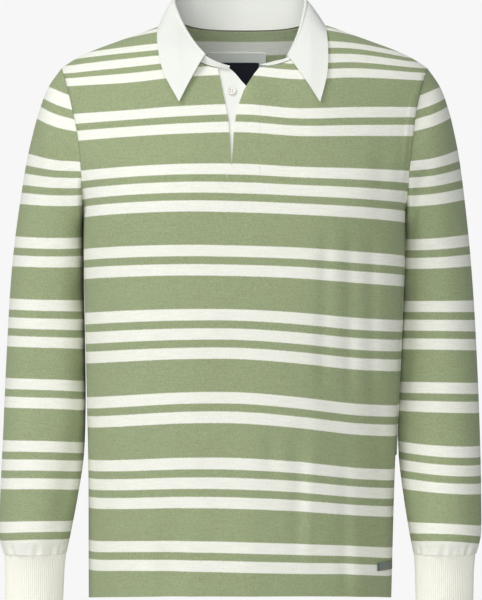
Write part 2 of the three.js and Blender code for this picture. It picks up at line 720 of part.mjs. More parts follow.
// A sewn button with a raised rim and four thread holes, its axis along Y.
function buttonGeometry() {
  const { radius, height, hole, holeAt } = BUTTON;
  const profile = [
    [0, 0],
    [radius * 0.82, 0],
    [radius, height * 0.45],
    [radius * 0.96, height],
    [radius * 0.72, height],
    [radius * 0.6, height * 0.7],
    [0, height * 0.7],
  ].map(([r, h]) => new THREE.Vector2(r, h));
  let solid = solidFrom(new THREE.LatheGeometry(profile, 18));
  for (const [i, k] of [[-1, -1], [-1, 1], [1, -1], [1, 1]]) {
    const pin = new THREE.CylinderGeometry(hole, hole, 4 * height, 6);
    pin.translate(i * holeAt, 0, k * holeAt);
    solid = solid.subtract(solidFrom(pin));
  }
  return geometryFrom(solid);
}

// ---------------------------------------------------------------- the sweater
const FINISH = {
  knit: { color: 0x9fae85, roughness: 0.95 },
  rib: { color: 0xf0efe2, roughness: 0.95 },
  shirting: { color: 0xf7f8f3, roughness: 0.85 },
  button: { color: 0xf1ede2, roughness: 0.35 },
  tape: { color: 0xd3d8d6, roughness: 0.8 },
  navy: { color: 0x20243a, roughness: 0.7 },
  tab: { color: 0x737d7a, roughness: 0.6 },
};

const sweater = new THREE.Group();
sweater.name = "rugby_polo_sweater";

function addPiece(name, geometry, finish) {
  const material = new THREE.MeshStandardMaterial({ ...FINISH[finish], metalness: 0 });
  const mesh = new THREE.Mesh(geometry, material);
  mesh.name = name;
  sweater.add(mesh);
  return mesh;
}

const wholeFront = panelGeometry(true);
const opened = solidFrom(wholeFront).subtract(solidFrom(openingCutter()));
addPiece("front", geometryFrom(opened), "knit");
const back = addPiece("back", panelGeometry(false), "knit");
for (const [side, sign] of [["left", -1], ["right", 1]]) {
  addPiece(`sleeve_${side}`, sleeveGeometry(sign), "knit");
  addPiece(`cuff_${side}`, cuffGeometry(sign), "rib");
}
addPiece("collar_stand", standGeometry(), "shirting");
addPiece("collar_leaf", leafGeometry(), "shirting");

const uncutFront = new THREE.Mesh(wholeFront);
const underlap = addPiece(
  "placket_underlap",
  laidStrip(uncutFront, UNDERLAP, 3, 0, -1, SHIRTING),
  "shirting",
);

const button = addPiece("neck_button", buttonGeometry(), "button");
const seat = touch(underlap, BUTTON.x, BUTTON.z, -FAR, 1);
button.quaternion.setFromUnitVectors(vec(0, 1, 0), seat.out);
button.position.copy(seat.point).addScaledVector(seat.out, SEAM_GAP);

const patch = addPiece(
  "neck_patch",
  laidStrip(back, rectangleRows(NECK_PATCH, 4), 4, 0, 1, TAPE),
  "tape",
);
addPiece(
  "neck_label",
  laidStrip(patch, rectangleRows(NECK_LABEL, 4), 4, 0, 1, TAPE),
  "navy",
);
addPiece(
  "hem_tab",
  laidStrip(uncutFront, rectangleRows(HEM_TAB, 1), 8, -FAR, 1, TAPE, 2 * SEAM_GAP),
  "tab",
);

export default sweater;
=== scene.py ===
# %% [markdown]
# # A knitted rugby-style polo sweater, worn by nobody
#
# The sweater is sage green with off-white stripes, knitted in one fine cotton yarn. It has a white
# woven collar, a white underlap in the neck opening, one sewn button and ribbed cuffs. It keeps the
# hollow form of its wearer, so every piece here is a thin shell with an inside and an outside.
#
# The solids of the same garment are loaded first. They fix where each piece is, and each piece that
# this lesson makes then stands for one of them.

# %% Load the frame
import math

import bpy
import numpy as np
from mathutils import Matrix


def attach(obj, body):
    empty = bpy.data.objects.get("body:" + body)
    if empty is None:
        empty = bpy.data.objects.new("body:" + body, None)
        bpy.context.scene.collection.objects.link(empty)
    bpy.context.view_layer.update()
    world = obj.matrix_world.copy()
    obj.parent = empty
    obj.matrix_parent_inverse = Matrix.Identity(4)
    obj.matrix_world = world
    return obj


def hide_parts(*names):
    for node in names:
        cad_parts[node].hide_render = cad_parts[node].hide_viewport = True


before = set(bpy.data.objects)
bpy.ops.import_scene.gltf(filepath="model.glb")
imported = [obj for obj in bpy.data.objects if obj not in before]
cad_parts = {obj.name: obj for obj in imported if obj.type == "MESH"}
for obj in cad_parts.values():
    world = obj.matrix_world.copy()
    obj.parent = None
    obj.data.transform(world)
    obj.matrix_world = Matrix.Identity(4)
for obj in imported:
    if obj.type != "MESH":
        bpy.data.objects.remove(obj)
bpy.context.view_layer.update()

# %% [markdown]
# ## Sizes and small helpers
#
# Garment makers measure in millimetres, so the tables below do too, and a mesh is turned into
# metres only when it is made. A table has named columns and a row for each section. `read` draws a
# smooth curve through a column, so that a few rows give a form without kinks.

# %% Units and smooth steps
MM = 0.001


def smooth(t):
    c = np.clip(t, 0.0, 1.0)
    return c * c * (3.0 - 2.0 * c)


def mix(a, b, t):
    return a + (b - a) * t


def bump(x, centre, width):
    """A soft hill of height 1."""
    return np.exp(-(((x - centre) / width) ** 2))


def unit(v):
    return v / np.maximum(np.linalg.norm(v, axis=-1, keepdims=True), 1e-9)


def points(x, y, z):
    return np.stack(np.broadcast_arrays(x, y, z), axis=-1).astype(float)


def ring_angles(count):
    """Equal steps once round, in radians, without the last place twice."""
    return np.linspace(0, 2 * np.pi, count + 1)[:-1]


def add_object(name, data):
    """A new object in the scene, of a mesh, a light or a camera."""
    made = bpy.data.objects.new(name, data)
    bpy.context.scene.collection.objects.link(made)
    return made


# %% Tables with named columns
def table(names, *rows):
    return {n: np.array(c, float) for n, c in zip(names.split(), zip(*rows))}


def curve_through(keys, values, at):
    """Reads a smooth curve through (key, value) pairs at one place or at many."""
    if keys[0] > keys[-1]:
        keys, values = keys[::-1], values[::-1]
    last = len(keys) - 1
    i = np.clip(np.searchsorted(keys, at, side="left") - 1, 0, last - 1)
    low = np.maximum(np.arange(last + 1) - 1, 0)
    high = np.minimum(np.arange(last + 1) + 1, last)
    slope = (values[high] - values[low]) / (keys[high] - keys[low])
    span = keys[i + 1] - keys[i]
    t = np.clip((at - keys[i]) / span, 0.0, 1.0)
    rise = 1 - 3 * t**2 + 2 * t**3
    bend = slope[i] * span * (t - 2 * t**2 + t**3) + slope[i + 1] * span * (t**3 - t**2)
    return values[i] * rise + values[i + 1] * (1 - rise) + bend


def read(rows, key, column, at):
    return curve_through(rows[key], rows[column], np.asarray(at, float))


# %% [markdown]
# ## The body's form
#
# The real body is two knitted panels, front and back, sewn at the sides and shoulders. Worn, they
# make a tube that is a rounded oval at the hem and chest and closes over the shoulders. One way is
# to push a plane about by hand. This lesson works the form out instead: a ring at each height, and
# above the underarm a rule that rounds the cloth over to the shoulder seam. The numbers are those
# of the solids. The finer folds come on top, and keep a shell within 10 mm of its solid.

# %% Driving sizes of the cloth
KNIT = 1.8
RIB = 2.4
SHIRTING = 1.3
TAPE = 1.0
SEAM_GAP = 0.3
HALF_GAP = SEAM_GAP / 2
STAND_GAP = 1.35
HEM_Z = -720.0
UNDERARM_Z = -234.0
TIP_X, TIP_Z = 230.5, -51.8
ARMHOLE_CURVE = 2.3
ARM_CLEARANCE = 0.5
NECK_X, NECK_Z = 82.0, 5.5
FRONT_NECK_DROP, BACK_NECK_DROP = 66.5, 5.0
NECK_ROUND = 2.75
FRONT_PITCH, BACK_PITCH = 14.5, -40.0
HEM_ARCH, ARCH_START_Z, ARCH_SPREAD = 13.0, -130.0, 340.0
ARMHOLE_DEPTH, ARMHOLE_LOW, YOKE_BLEND, YOKE_ROUND = 70.0, 0.35, 0.55, 2.3

TORSO = table(
    "z half front back round",
    (-720, 190.8, 119, 113, 2.3),
    (-650, 191.8, 119, 113, 2.3),
    (-560, 193.2, 121, 111, 2.35),
    (-470, 196.2, 123, 110, 2.4),
    (-390, 198.8, 126, 113, 2.5),
    (-300, 201.5, 129, 121, 2.7),
    (-234, 202.5, 130, 125, 2.9),
)
CHEST_HALF, CHEST_ROUND = 202.5, 2.9
CHEST_REACH = {True: 130.0, False: 125.0}

SHOULDER = table(
    "x z",
    (82, 5.5), (106, 0.8), (132, -8.5), (156, -17), (193, -30.8), (214, -41), (230.5, -51.8),
)

LEAN = table(
    "z body arms",
    (-720, -2.1, -2.9),
    (-640, -1.2, -2.0),
    (-520, 0.4, -0.3),
    (-390, 1.8, 0.0),
    (-300, 2.6, 0.0),
    (-207, 4.0, 1.2),
    (-150, 4.7, 2.2),
    (-110, 3.6, 2.9),
    (-50, 3.5, 3.5),
)


def lean_at(z):
    return read(LEAN, "z", "body", z)


def arm_lean_at(z):
    return read(LEAN, "z", "arms", z)


# %% [markdown]
# ## Folds
#
# A fine knit hangs smoothly, with long shallow troughs that start and stop softly. Each row of the
# tables below is one fold: where it starts and ends, how wide it is, and how deep it sinks (a minus
# makes a ridge). They are given one by one and are uneven on purpose. The hidden back has some too.

# %% Folds of the front and the back
FOLDS = {
    True: table(
        "x_top x_low top bottom width depth",
        (74, 68, -460, -680, 20, 2.6),
        (14, 10, -440, -745, 40, -1.8),
        (170, 178, -400, -745, 24, 3.6),
        (136, 150, -560, -745, 22, -2.6),
        (-82, -82, -540, -745, 40, 4.0),
        (112, 112, -330, -600, 38, 2.4),
        (150, 150, -215, -700, 84, 7.0),
        (-165, -165, -110, -260, 26, 2.6),
        (168, 168, -110, -270, 26, 3.0),
    ),
    False: table(
        "x_top x_low top bottom width depth",
        (-60, -60, -400, -740, 40, 3.0),
        (48, 48, -470, -740, 36, 2.4),
        (128, 128, -360, -740, 34, -2.4),
        (-142, -142, -420, -740, 32, -2.0),
        (-150, -150, -100, -270, 30, 3.2),
        (150, 150, -100, -270, 30, 3.0),
    ),
}
CREASES = {
    True: table(
        "x_top x_low top bottom width depth",
        (100, 97, -235, -480, 17, 2.5),
        (129, 132, -240, -490, 16, 2.7),
        (158, 160, -245, -500, 16, 2.4),
        (34, 37, -490, -575, 15, 2.6),
        (63, 62, -490, -565, 14, 2.4),
        (86, 82, -500, -700, 14, -1.0),
        (128, 130, -500, -745, 16, 1.6),
        (-62, -58, -360, -600, 16, -0.8),
        (-118, -112, -380, -640, 22, 0.7),
        (-150, -152, -340, -560, 18, -0.7),
        (-30, -36, -540, -745, 20, 0.8),
        (-98, -92, -600, -745, 16, 1.4),
        (-64, -62, -590, -745, 16, -1.4),
        (60, 66, -110, -210, 26, 0.9),
        (-120, -150, -120, -215, 24, 1.1),
    ),
    False: table(
        "x_top x_low top bottom width depth",
        (-96, -88, -330, -620, 18, 1.1),
        (-24, -30, -420, -745, 16, -0.9),
        (10, 14, -500, -745, 18, 1.1),
        (84, 90, -380, -660, 20, 1.2),
        (150, 146, -460, -745, 16, 1.0),
        (-120, -128, -560, -745, 16, 1.1),
        (-170, -166, -300, -520, 16, -0.8),
        (110, 60, -110, -190, 30, 1.0),
        (-110, -60, -115, -200, 30, 1.0),
    ),
}


def fold_depth(rows, x, z, fade_in, fade_out):
    """How far a set of folds sinks the cloth at each place."""
    total = 0.0
    for i in range(len(rows["top"])):
        top, bottom = rows["top"][i], rows["bottom"][i]
        along = smooth((top - z) / fade_in) * smooth((z - bottom) / fade_out)
        centre = mix(rows["x_top"][i], rows["x_low"][i], (top - z) / (top - bottom))
        total = total + rows["depth"][i] * along * bump(x, centre, rows["width"][i] / 2)
    return total


# %% Reach of the cloth from the mid-plane
def ridge_at(x):
    return read(SHOULDER, "x", "z", np.abs(x))


def closing_height(x, front):
    pitch = FRONT_PITCH if front else BACK_PITCH
    arc = NECK_Z - pitch * (1 - (x / NECK_X) ** 2)
    return np.where(np.abs(x) >= NECK_X, ridge_at(x), arc)


def armhole_share(z):
    return np.clip((z - UNDERARM_Z) / (TIP_Z - UNDERARM_Z), 0.0, 1.0)


def armhole_x(z):
    return mix(CHEST_HALF, TIP_X, armhole_share(z) ** ARMHOLE_CURVE)


def armhole_depth(z):
    low = np.clip(1 - armhole_share(z) / ARMHOLE_LOW, 0.0, 1.0)
    return ARMHOLE_DEPTH * np.sqrt(1 - low * low)


def cap_share(h):
    return np.sqrt(np.maximum(0.0, 1 - h * h))


def reach_at(x, z, front, detail=True):
    """Distance of the cloth in front of (or behind) the mid-plane, x being from the centre line."""
    sunk = fold_depth(FOLDS[front], x, z, 90.0, 60.0)
    column = "front" if front else "back"
    low_z = np.minimum(z, UNDERARM_Z)
    half, power = read(TORSO, "z", "half", low_z), read(TORSO, "z", "round", low_z)
    across = np.clip(np.abs(x) / half, 0.0, 1.0)
    arc = (1 - across**power) ** (1 / power)
    lower = read(TORSO, "z", column, low_z) * arc - sunk * np.minimum(1, 1.5 * arc)
    deepest, edge = CHEST_REACH[front], armhole_depth(z)
    across = np.clip(np.abs(x) / armhole_x(z), 0.0, 1.0)
    ring_arc = (1 - across**CHEST_ROUND) ** (1 / CHEST_ROUND)
    closed = ((deepest * ring_arc) ** 4 + edge**4) ** 0.25
    opened = edge + (deepest - edge) * (1 - across**YOKE_ROUND)
    h = (z - UNDERARM_Z) / (closing_height(x, front) - UNDERARM_Z)
    blend = smooth(armhole_share(z) / YOKE_BLEND)
    upper = (mix(closed, opened, blend) - sunk * ring_arc) * cap_share(h)
    reach = np.where(z <= UNDERARM_Z, lower, upper)
    if detail:
        reach = reach - fold_depth(CREASES[front], x, z, 60.0, 60.0) * np.minimum(1, 2 * arc)
        reach = reach + seam_ridge(x, z)
        if front:
            reach = reach + overlap_forms(x, z) - turned_side(x, z)
    return reach


def seam_ridge(x, z):
    """The seam allowance inside the armhole shows as a low ridge beside the seam."""
    from_seam = armhole_x(z) - np.abs(x)
    ends = smooth((z - UNDERARM_Z) / 40) * smooth((-70 - z) / 30)
    return 0.9 * bump(from_seam, 8.0, 3.2) * ends


SIDE_SUNK = 3.6
OVERLAP_LIFT, OVERLAP_LIFT_Z = 6.0, -86.0
HIDDEN_BUTTON_X, HIDDEN_BUTTON_Z, HIDDEN_BUTTON_LIFT = 8.0, -149.0, 1.0


def turned_side(x, z):
    """Low on the right the front sinks a little, as if the cloth were pulled at the hip."""
    across = smooth((x - 10) / 94) * (1 - smooth((x - 158) / 42))
    return SIDE_SUNK * across * smooth((-380 - z) / 170)


def overlap_forms(x, z):
    """The stiff overlap lifts the cloth beside the slit, and a hidden button presses through."""
    beside = smooth((x + 6) / 14) * (1 - smooth((x - 10) / 40))
    lifted = OVERLAP_LIFT * bump(z, OVERLAP_LIFT_Z, 22.0) * beside
    from_button = np.hypot(x - HIDDEN_BUTTON_X, z - HIDDEN_BUTTON_Z)
    return lifted * smooth((-61 - z) / 16) + HIDDEN_BUTTON_LIFT * bump(from_button, 0, 5.0)


def body_point(x, z, front, detail=True):
    reach = reach_at(x, z, front, detail)
    return points(x + lean_at(z), -reach if front else reach, z)


# %% The neckline and the armhole seam
def neck_point(turn, front):
    """The neckline's point, turn degrees from the centre back (front: over 90)."""
    angle = np.radians(np.abs(turn))
    power = 2 / NECK_ROUND if front else 0.85
    size = np.abs(np.sin(angle)) ** power
    x = NECK_X * size * np.sign(turn)
    if front:
        pulled_up = 3.0 * smooth((x + 4) / 24) * smooth((74 - x) / 26)
        z = NECK_Z - FRONT_NECK_DROP * np.abs(np.cos(angle)) ** power + pulled_up
    else:
        z = NECK_Z - BACK_NECK_DROP * (1 - size**4)
    return body_point(x, z, front, detail=False)


def armhole_place(sign, way, front):
    z = mix(UNDERARM_Z, TIP_Z, (1 - np.cos(np.pi * way)) / 2)
    reach = armhole_depth(z) * cap_share(armhole_share(z))
    return points(sign * armhole_x(z) + lean_at(z), -reach if front else reach, z)


def armhole_seam(sign, way, front):
    """The seam's points, the way out of the cloth there, and the way to the sleeve."""
    way = np.atleast_1d(np.asarray(way, float))
    point = armhole_place(sign, way, front)
    middle = (UNDERARM_Z + TIP_Z) / 2
    out = unit(points(0 * way, point[:, 1], point[:, 2] - middle))
    out[:, 0] = sign * 0.36 * smooth(armhole_share(point[:, 2]) * 1.6)
    out = unit(out)
    after = armhole_place(sign, np.minimum(way + 0.01, 1), front)
    before = armhole_place(sign, np.maximum(way - 0.01, 0), front)
    along = after - before
    along[(way <= 0) | (way >= 1)] = (0, 1, 0)
    to_sleeve = unit(np.cross(along, out))
    to_sleeve[to_sleeve[:, 0] * sign < 0] *= -1
    return point, out, to_sleeve


# %% [markdown]
# ## Knit coordinates
#
# Stripes on a jumper follow the knitted rows, not the room. Each point of the cloth therefore gets
# a map coordinate: how far along the row it is, and which row it lies on, both in metres. The
# stripe pattern later reads only that map. The rows sag and tilt a little where the cloth is worn,
# so a table gives the height of a stripe group's middle at seven places across the chest. `course`
# is the knitted distance down from the shoulder, and `back` is the height at the centre back.

# %% Where the knitted rows lie on the body
REPEAT, STRIPE_PITCH, WHITE_STRIPE = 181.0, 23.7, 14.0
ROWS_AT = np.array([-210.0, -140, -70, 0, 70, 140, 210])
ROWS = table(
    "course left2 left1 left0 middle right0 right1 right2 back",
    (-71.65, -27.0, -14.5, -5.0, 0.0, -3.5, -11.5, -22.0, 30.0),
    (-30.7, -34.0, -28.2, -23.5, -20.0, -22.0, -23.7, -34.0, -11.3),
    (0.0, -55.8, -50.3, -45.0, -42.0, -47.5, -44.5, -49.3, -47.5),
    (30.7, -77.8, -76.0, -69.8, -67.5, -73.0, -69.6, -70.2, -77.5),
    (90.5, -130.5, -127.3, -124.0, -122.2, -127.0, -125.0, -122.5, -131.5),
    (181.0, -213.6, -209.6, -207.3, -208.2, -211.2, -213.8, -217.2, -212.0),
    (271.5, -300.3, -297.5, -296.2, -297.2, -299.6, -304.3, -309.0, -300.0),
    (362.0, -393.5, -389.0, -386.5, -386.7, -391.5, -398.7, -402.5, -389.0),
    (452.5, -487.0, -481.0, -476.5, -476.4, -482.5, -491.7, -497.0, -478.0),
    (543.0, -576.0, -572.0, -568.8, -569.2, -573.5, -581.8, -589.0, -569.0),
    (633.5, -666.0, -660.0, -658.4, -659.2, -661.8, -666.0, -676.0, -660.0),
)
PLACES = ("left2", "left1", "left0", "middle", "right0", "right1", "right2")


def row_heights(x, front):
    """Height of each table row at places x across the body, as an array rows by places."""
    across = np.array([ROWS[p] for p in PLACES])
    heights = np.array([curve_through(ROWS_AT, across[:, i], x) for i in range(across.shape[1])])
    if front:
        return heights
    mirrored = np.array([curve_through(ROWS_AT, across[:, i], -x) for i in range(across.shape[1])])
    even, odd = (heights + mirrored) / 2, (heights - mirrored) / 2
    centre = (ROWS["back"][:, None] - even) * (1 - smooth((np.abs(x) - 70) / 120))
    return even + odd * smooth((np.abs(x) - 60) / 140) + centre


def read_course(heights, z, courses):
    """The knitted course at heights z, given the height of each table row there."""
    order = np.argsort(-heights, axis=0)
    result = np.empty_like(z)
    for j in range(len(z)):
        keys = -heights[order[:, j], j]
        values = courses[order[:, j]]
        first = (values[1] - values[0]) / (keys[1] - keys[0])
        last = (values[-1] - values[-2]) / (keys[-1] - keys[-2])
        inside = curve_through(keys, values, np.clip(-z[j], keys[0], keys[-1]))
        above = np.minimum(-z[j] - keys[0], 0) * first
        below = np.maximum(-z[j] - keys[-1], 0) * last
        result[j] = inside + above + below
    return result


def body_course(grid, front):
    """Course of every point of a body grid."""
    x, z = grid[..., 0].ravel(), grid[..., 2].ravel()
    return read_course(row_heights(x, front), z, ROWS["course"]).reshape(grid.shape[:2])


# %% [markdown]
# ## Turning grids into shells
#
# Every piece of cloth starts as a grid of points on its outer face. `grid_shell` moves a copy of
# the grid in by the wall's thickness. `shell` joins the two along the open edges and writes the
# knit coordinates as a UV map. A Solidify modifier would do the same, but here the seams need
# their own directions. The inner face may take its own finish: on the body a paler copy of the
# knit, partly its paler reverse and partly painted light for the dim inside of the neck.

# %% Normals, walls and meshes
def grid_normals(grid, hint, wraps=False):
    """Unit normals of a grid, on the side that the hint points to."""
    if wraps:
        across = np.roll(grid, -1, axis=1) - np.roll(grid, 1, axis=1)
    else:
        across = np.gradient(grid, axis=1)
    up = np.gradient(grid, axis=0)
    normal = unit(np.cross(across, up))
    flip = (normal * hint).sum(-1) < 0
    normal[flip] *= -1
    return normal


def grid_quads(index):
    """Quads of a table of vertex numbers."""
    return np.stack(
        [index[:-1, :-1], index[:-1, 1:], index[1:, 1:], index[1:, :-1]], axis=-1
    ).reshape(-1, 4)


def quad_values(grid):
    """The four corners' values of every cell of a grid of values."""
    return np.stack([grid[:-1, :-1], grid[:-1, 1:], grid[1:, 1:], grid[1:, :-1]], axis=2).reshape(
        -1, 4, grid.shape[-1]
    )


CLOTH_SHARP = 50.0


def cloth_mesh(name, verts, faces, uvs, material):
    """A mesh object in metres, from millimetre points and quads with a UV for each corner."""
    mesh = bpy.data.meshes.new(name)
    mesh.vertices.add(len(verts))
    mesh.vertices.foreach_set("co", (np.asarray(verts) * MM).astype(np.float32).ravel())
    mesh.loops.add(faces.size)
    mesh.loops.foreach_set("vertex_index", faces.astype(np.int32).ravel())
    mesh.polygons.add(len(faces))
    mesh.polygons.foreach_set("loop_start", np.arange(0, faces.size, 4, dtype=np.int32))
    mesh.update(calc_edges=True)
    layer = mesh.uv_layers.new(name="knit")
    layer.data.foreach_set("uv", (uvs.reshape(-1, 2) * MM).astype(np.float32).ravel())
    mesh.polygons.foreach_set("use_smooth", np.ones(len(faces), bool))
    mesh.set_sharp_from_angle(angle=math.radians(CLOTH_SHARP))
    mesh.materials.append(material)
    return add_object(name, mesh)


def signed_volume(verts, faces):
    """Six times the volume that the quads enclose; below 0 where they face inwards."""
    a, b, c, d = (verts[faces[:, k]] for k in range(4))
    return (np.cross(a, b) * c).sum() + (np.cross(a, c) * d).sum()


def shell(name, outer, inner, quads, uvs, material, inside=None):
    """A closed wall between two sets of points that share the same quads."""
    count = len(outer)
    edges = np.concatenate([quads[:, [k, (k + 1) % 4]] for k in range(4)])
    corner_uvs = np.concatenate([uvs[:, [k, (k + 1) % 4]] for k in range(4)])
    keys = edges[:, 0].astype(np.int64) * count + edges[:, 1]
    back_keys = edges[:, 1].astype(np.int64) * count + edges[:, 0]
    rim = ~np.isin(keys, back_keys)
    a, b = edges[rim, 0], edges[rim, 1]
    rim_faces = np.stack([b, a, a + count, b + count], axis=-1)
    rim_uvs = corner_uvs[rim][:, [1, 0, 0, 1]]
    faces = np.concatenate([quads, quads[:, ::-1] + count, rim_faces])
    all_uvs = np.concatenate([uvs, uvs[:, ::-1], rim_uvs])
    verts = np.concatenate([outer, inner])
    if signed_volume(verts, faces) < 0:
        faces, all_uvs = faces[:, ::-1], all_uvs[:, ::-1]
    made = cloth_mesh(name, verts, faces, all_uvs, material)
    if inside:
        made.data.materials.append(inside)
        which = np.zeros(len(faces), np.int32)
        which[len(quads) : 2 * len(quads)] = 1
        made.data.polygons.foreach_set("material_index", which)
    print(name, len(faces) * 2, "triangles")
    return made


def grid_shell(name, outer, normals, wall, uv, material, wraps=False, inside=None):
    """A wall on one grid. Where it wraps, uv has one column more than the points."""
    rows, columns = outer.shape[:2]
    index = np.arange(rows * columns).reshape(rows, columns)
    if wraps:
        index = np.concatenate([index, index[:, :1]], axis=1)
    faces = outer.reshape(-1, 3), (outer - normals * wall).reshape(-1, 3)
    return shell(name, *faces, grid_quads(index), quad_values(uv), material, inside)


def along_rows(grid):
    """Distance along each row of a grid, from its first column."""
    step = np.linalg.norm(np.diff(grid, axis=1), axis=-1)
    return np.concatenate([np.zeros((len(grid), 1)), np.cumsum(step, axis=1)], axis=1)


def down_columns(grid):
    """Distance down each column of a grid, from its first row."""
    step = np.linalg.norm(np.diff(grid, axis=0), axis=-1)
    return np.concatenate([np.zeros((1, grid.shape[1])), np.cumsum(step, axis=0)], axis=0)


def plain_map(grid):
    """The map of a piece whose rows don't follow the body's: along each row, and down from it."""
    return np.stack([along_rows(grid), down_columns(grid)], axis=-1)


# %% [markdown]
# ## Yarns and finishes
#
# A finish is more than a colour. Jersey has small V-shaped loops, yarn that varies a little along
# each row, and a soft sheen. What several finishes share is a node group, built once: `stripes`
# turns the knitted course into a green-and-white mask, `jersey` gives the height of the loops, and
# `mottle` gives slow changes of tone. Each material places them with its own values.

# %% Node helpers
def add_node(tree, kind, **settings):
    node = tree.nodes.new(kind)
    for key, value in settings.items():
        setattr(node, key, value)
    return node


def math_node(tree, operation, first, second=None, third=None, clamp=False):
    """One Math node. Inputs are sockets or plain numbers."""
    node = add_node(tree, "ShaderNodeMath", operation=operation, use_clamp=clamp)
    for socket, value in zip(node.inputs, (first, second, third)):
        if value is None:
            continue
        if isinstance(value, (int, float)):
            socket.default_value = value
        else:
            tree.links.new(value, socket)
    return node.outputs[0]


def new_group(name, inputs, outputs):
    """A shader node group. An input with a default is a number; one with None is a vector."""
    tree = bpy.data.node_groups.new(name, "ShaderNodeTree")
    for label, default in inputs.items():
        kind = "NodeSocketVector" if default is None else "NodeSocketFloat"
        socket = tree.interface.new_socket(label, in_out="INPUT", socket_type=kind)
        if default is not None:
            socket.default_value = default
    for label in outputs:
        tree.interface.new_socket(label, in_out="OUTPUT", socket_type="NodeSocketFloat")
    return tree, tree.nodes.new("NodeGroupInput").outputs, tree.nodes.new("NodeGroupOutput").inputs


def place_group(tree, group, **values):
    node = add_node(tree, "ShaderNodeGroup", node_tree=group)
    for label, value in values.items():
        socket = node.inputs[label.replace("_", " ")]
        if isinstance(value, bpy.types.NodeSocket):
            tree.links.new(value, socket)
        else:
            socket.default_value = value
    return node


def knit_noise(tree, along, course, detail):
    """A noise on the knit map, each of its two coordinates being a (socket, scale) pair."""
    spot = add_node(tree, "ShaderNodeCombineXYZ")
    for place, (socket, scale) in enumerate((along, course)):
        tree.links.new(math_node(tree, "MULTIPLY", socket, scale), spot.inputs[place])
    noise = add_node(tree, "ShaderNodeTexNoise", noise_dimensions="2D")
    noise.inputs["Scale"].default_value = 1.0
    noise.inputs["Detail"].default_value = detail
    tree.links.new(spot.outputs[0], noise.inputs["Vector"])
    return noise.outputs["Fac"]


def add_relief(tree, shader, height, strength, distance):
    """Sends a height into the shader's normal by way of a Bump node."""
    relief = add_node(tree, "ShaderNodeBump")
    relief.inputs["Strength"].default_value = strength
    relief.inputs["Distance"].default_value = distance
    tree.links.new(height, relief.inputs["Height"])
    tree.links.new(relief.outputs[0], shader.inputs["Normal"])


# %% [markdown]
# ### Stripes
#
# Groups of three and of two white stripes take turns. A white stripe is 14 mm, the thin green one
# between two of them 9.7 mm, and a pair of groups repeats every 181 mm. Folding the course back
# and forth with a ping-pong makes one stripe serve both sides of its group's middle. The edge of a
# stripe is not a ruled line: it steps from loop to loop, so a fine noise moves it a little.

# %% Group: stripes
NO_WHITE_END = 10.0
EDGE_WANDER = 0.0006


def make_stripes():
    """White (1) or green (0) from the knit map in metres; past White From all is white."""
    tree, inp, made = new_group(
        "stripes",
        {
            "Course": 0.0,
            "Along": 0.0,
            "Repeat": REPEAT * MM,
            "White Half": WHITE_STRIPE / 2 * MM,
            "Pitch": STRIPE_PITCH * MM,
            "White From": NO_WHITE_END,
            "Softness": 0.0005,
        },
        ["White"],
    )
    noise = knit_noise(tree, (inp["Along"], 300.0), (inp["Course"], 60.0), 2.0)
    wander = math_node(tree, "MULTIPLY_ADD", noise, EDGE_WANDER, -EDGE_WANDER / 2)
    course = math_node(tree, "ADD", inp["Course"], wander)
    half_repeat = math_node(tree, "MULTIPLY", inp["Repeat"], 0.5)
    from_three = math_node(tree, "PINGPONG", course, half_repeat)
    from_two = math_node(tree, "SUBTRACT", half_repeat, from_three)
    half_pitch = math_node(tree, "MULTIPLY", inp["Pitch"], 0.5)
    outer = math_node(tree, "ABSOLUTE", math_node(tree, "SUBTRACT", from_three, inp["Pitch"]))
    pair = math_node(tree, "ABSOLUTE", math_node(tree, "SUBTRACT", from_two, half_pitch))
    nearest = math_node(tree, "MINIMUM", math_node(tree, "MINIMUM", from_three, outer), pair)
    beyond = math_node(tree, "SUBTRACT", inp["White Half"], nearest)
    edge = math_node(tree, "DIVIDE", beyond, inp["Softness"])
    stripe = math_node(tree, "ADD", math_node(tree, "MULTIPLY", edge, 0.5), 0.5, clamp=True)
    tail_off = math_node(tree, "SUBTRACT", course, inp["White From"])
    tail = math_node(tree, "MULTIPLY_ADD", tail_off, 1000.0, 0.5, clamp=True)
    tree.links.new(math_node(tree, "MAXIMUM", stripe, tail), made["White"])
    return tree


# %% Group: jersey loops
def make_jersey():
    """Height of the V-shaped loops of a plain knit, from the knit map in metres."""
    tree, inp, made = new_group(
        "jersey",
        {"Along": 0.0, "Course": 0.0, "Loop Width": 0.0015, "Loop Height": 0.0011},
        ["Height", "Yarn"],
    )
    wale = math_node(tree, "DIVIDE", inp["Along"], inp["Loop Width"])
    centred = math_node(tree, "SUBTRACT", math_node(tree, "FRACT", wale), 0.5)
    leg = math_node(tree, "ABSOLUTE", centred)
    row = math_node(tree, "DIVIDE", inp["Course"], inp["Loop Height"])
    slanted = math_node(tree, "SUBTRACT", row, math_node(tree, "MULTIPLY", leg, 1.3))
    wave = math_node(tree, "SINE", math_node(tree, "MULTIPLY", slanted, 2 * math.pi))
    round_leg = math_node(tree, "SINE", math_node(tree, "MULTIPLY", leg, 2 * math.pi))
    legs = math_node(tree, "POWER", math_node(tree, "MAXIMUM", round_leg, 0.0), 0.5)
    lift = math_node(tree, "MULTIPLY_ADD", wave, 0.35, 0.65)
    tree.links.new(math_node(tree, "MULTIPLY", lift, legs), made["Height"])
    tree.links.new(knit_noise(tree, (wale, 0.06), (row, 0.9), 3.0), made["Yarn"])
    return tree


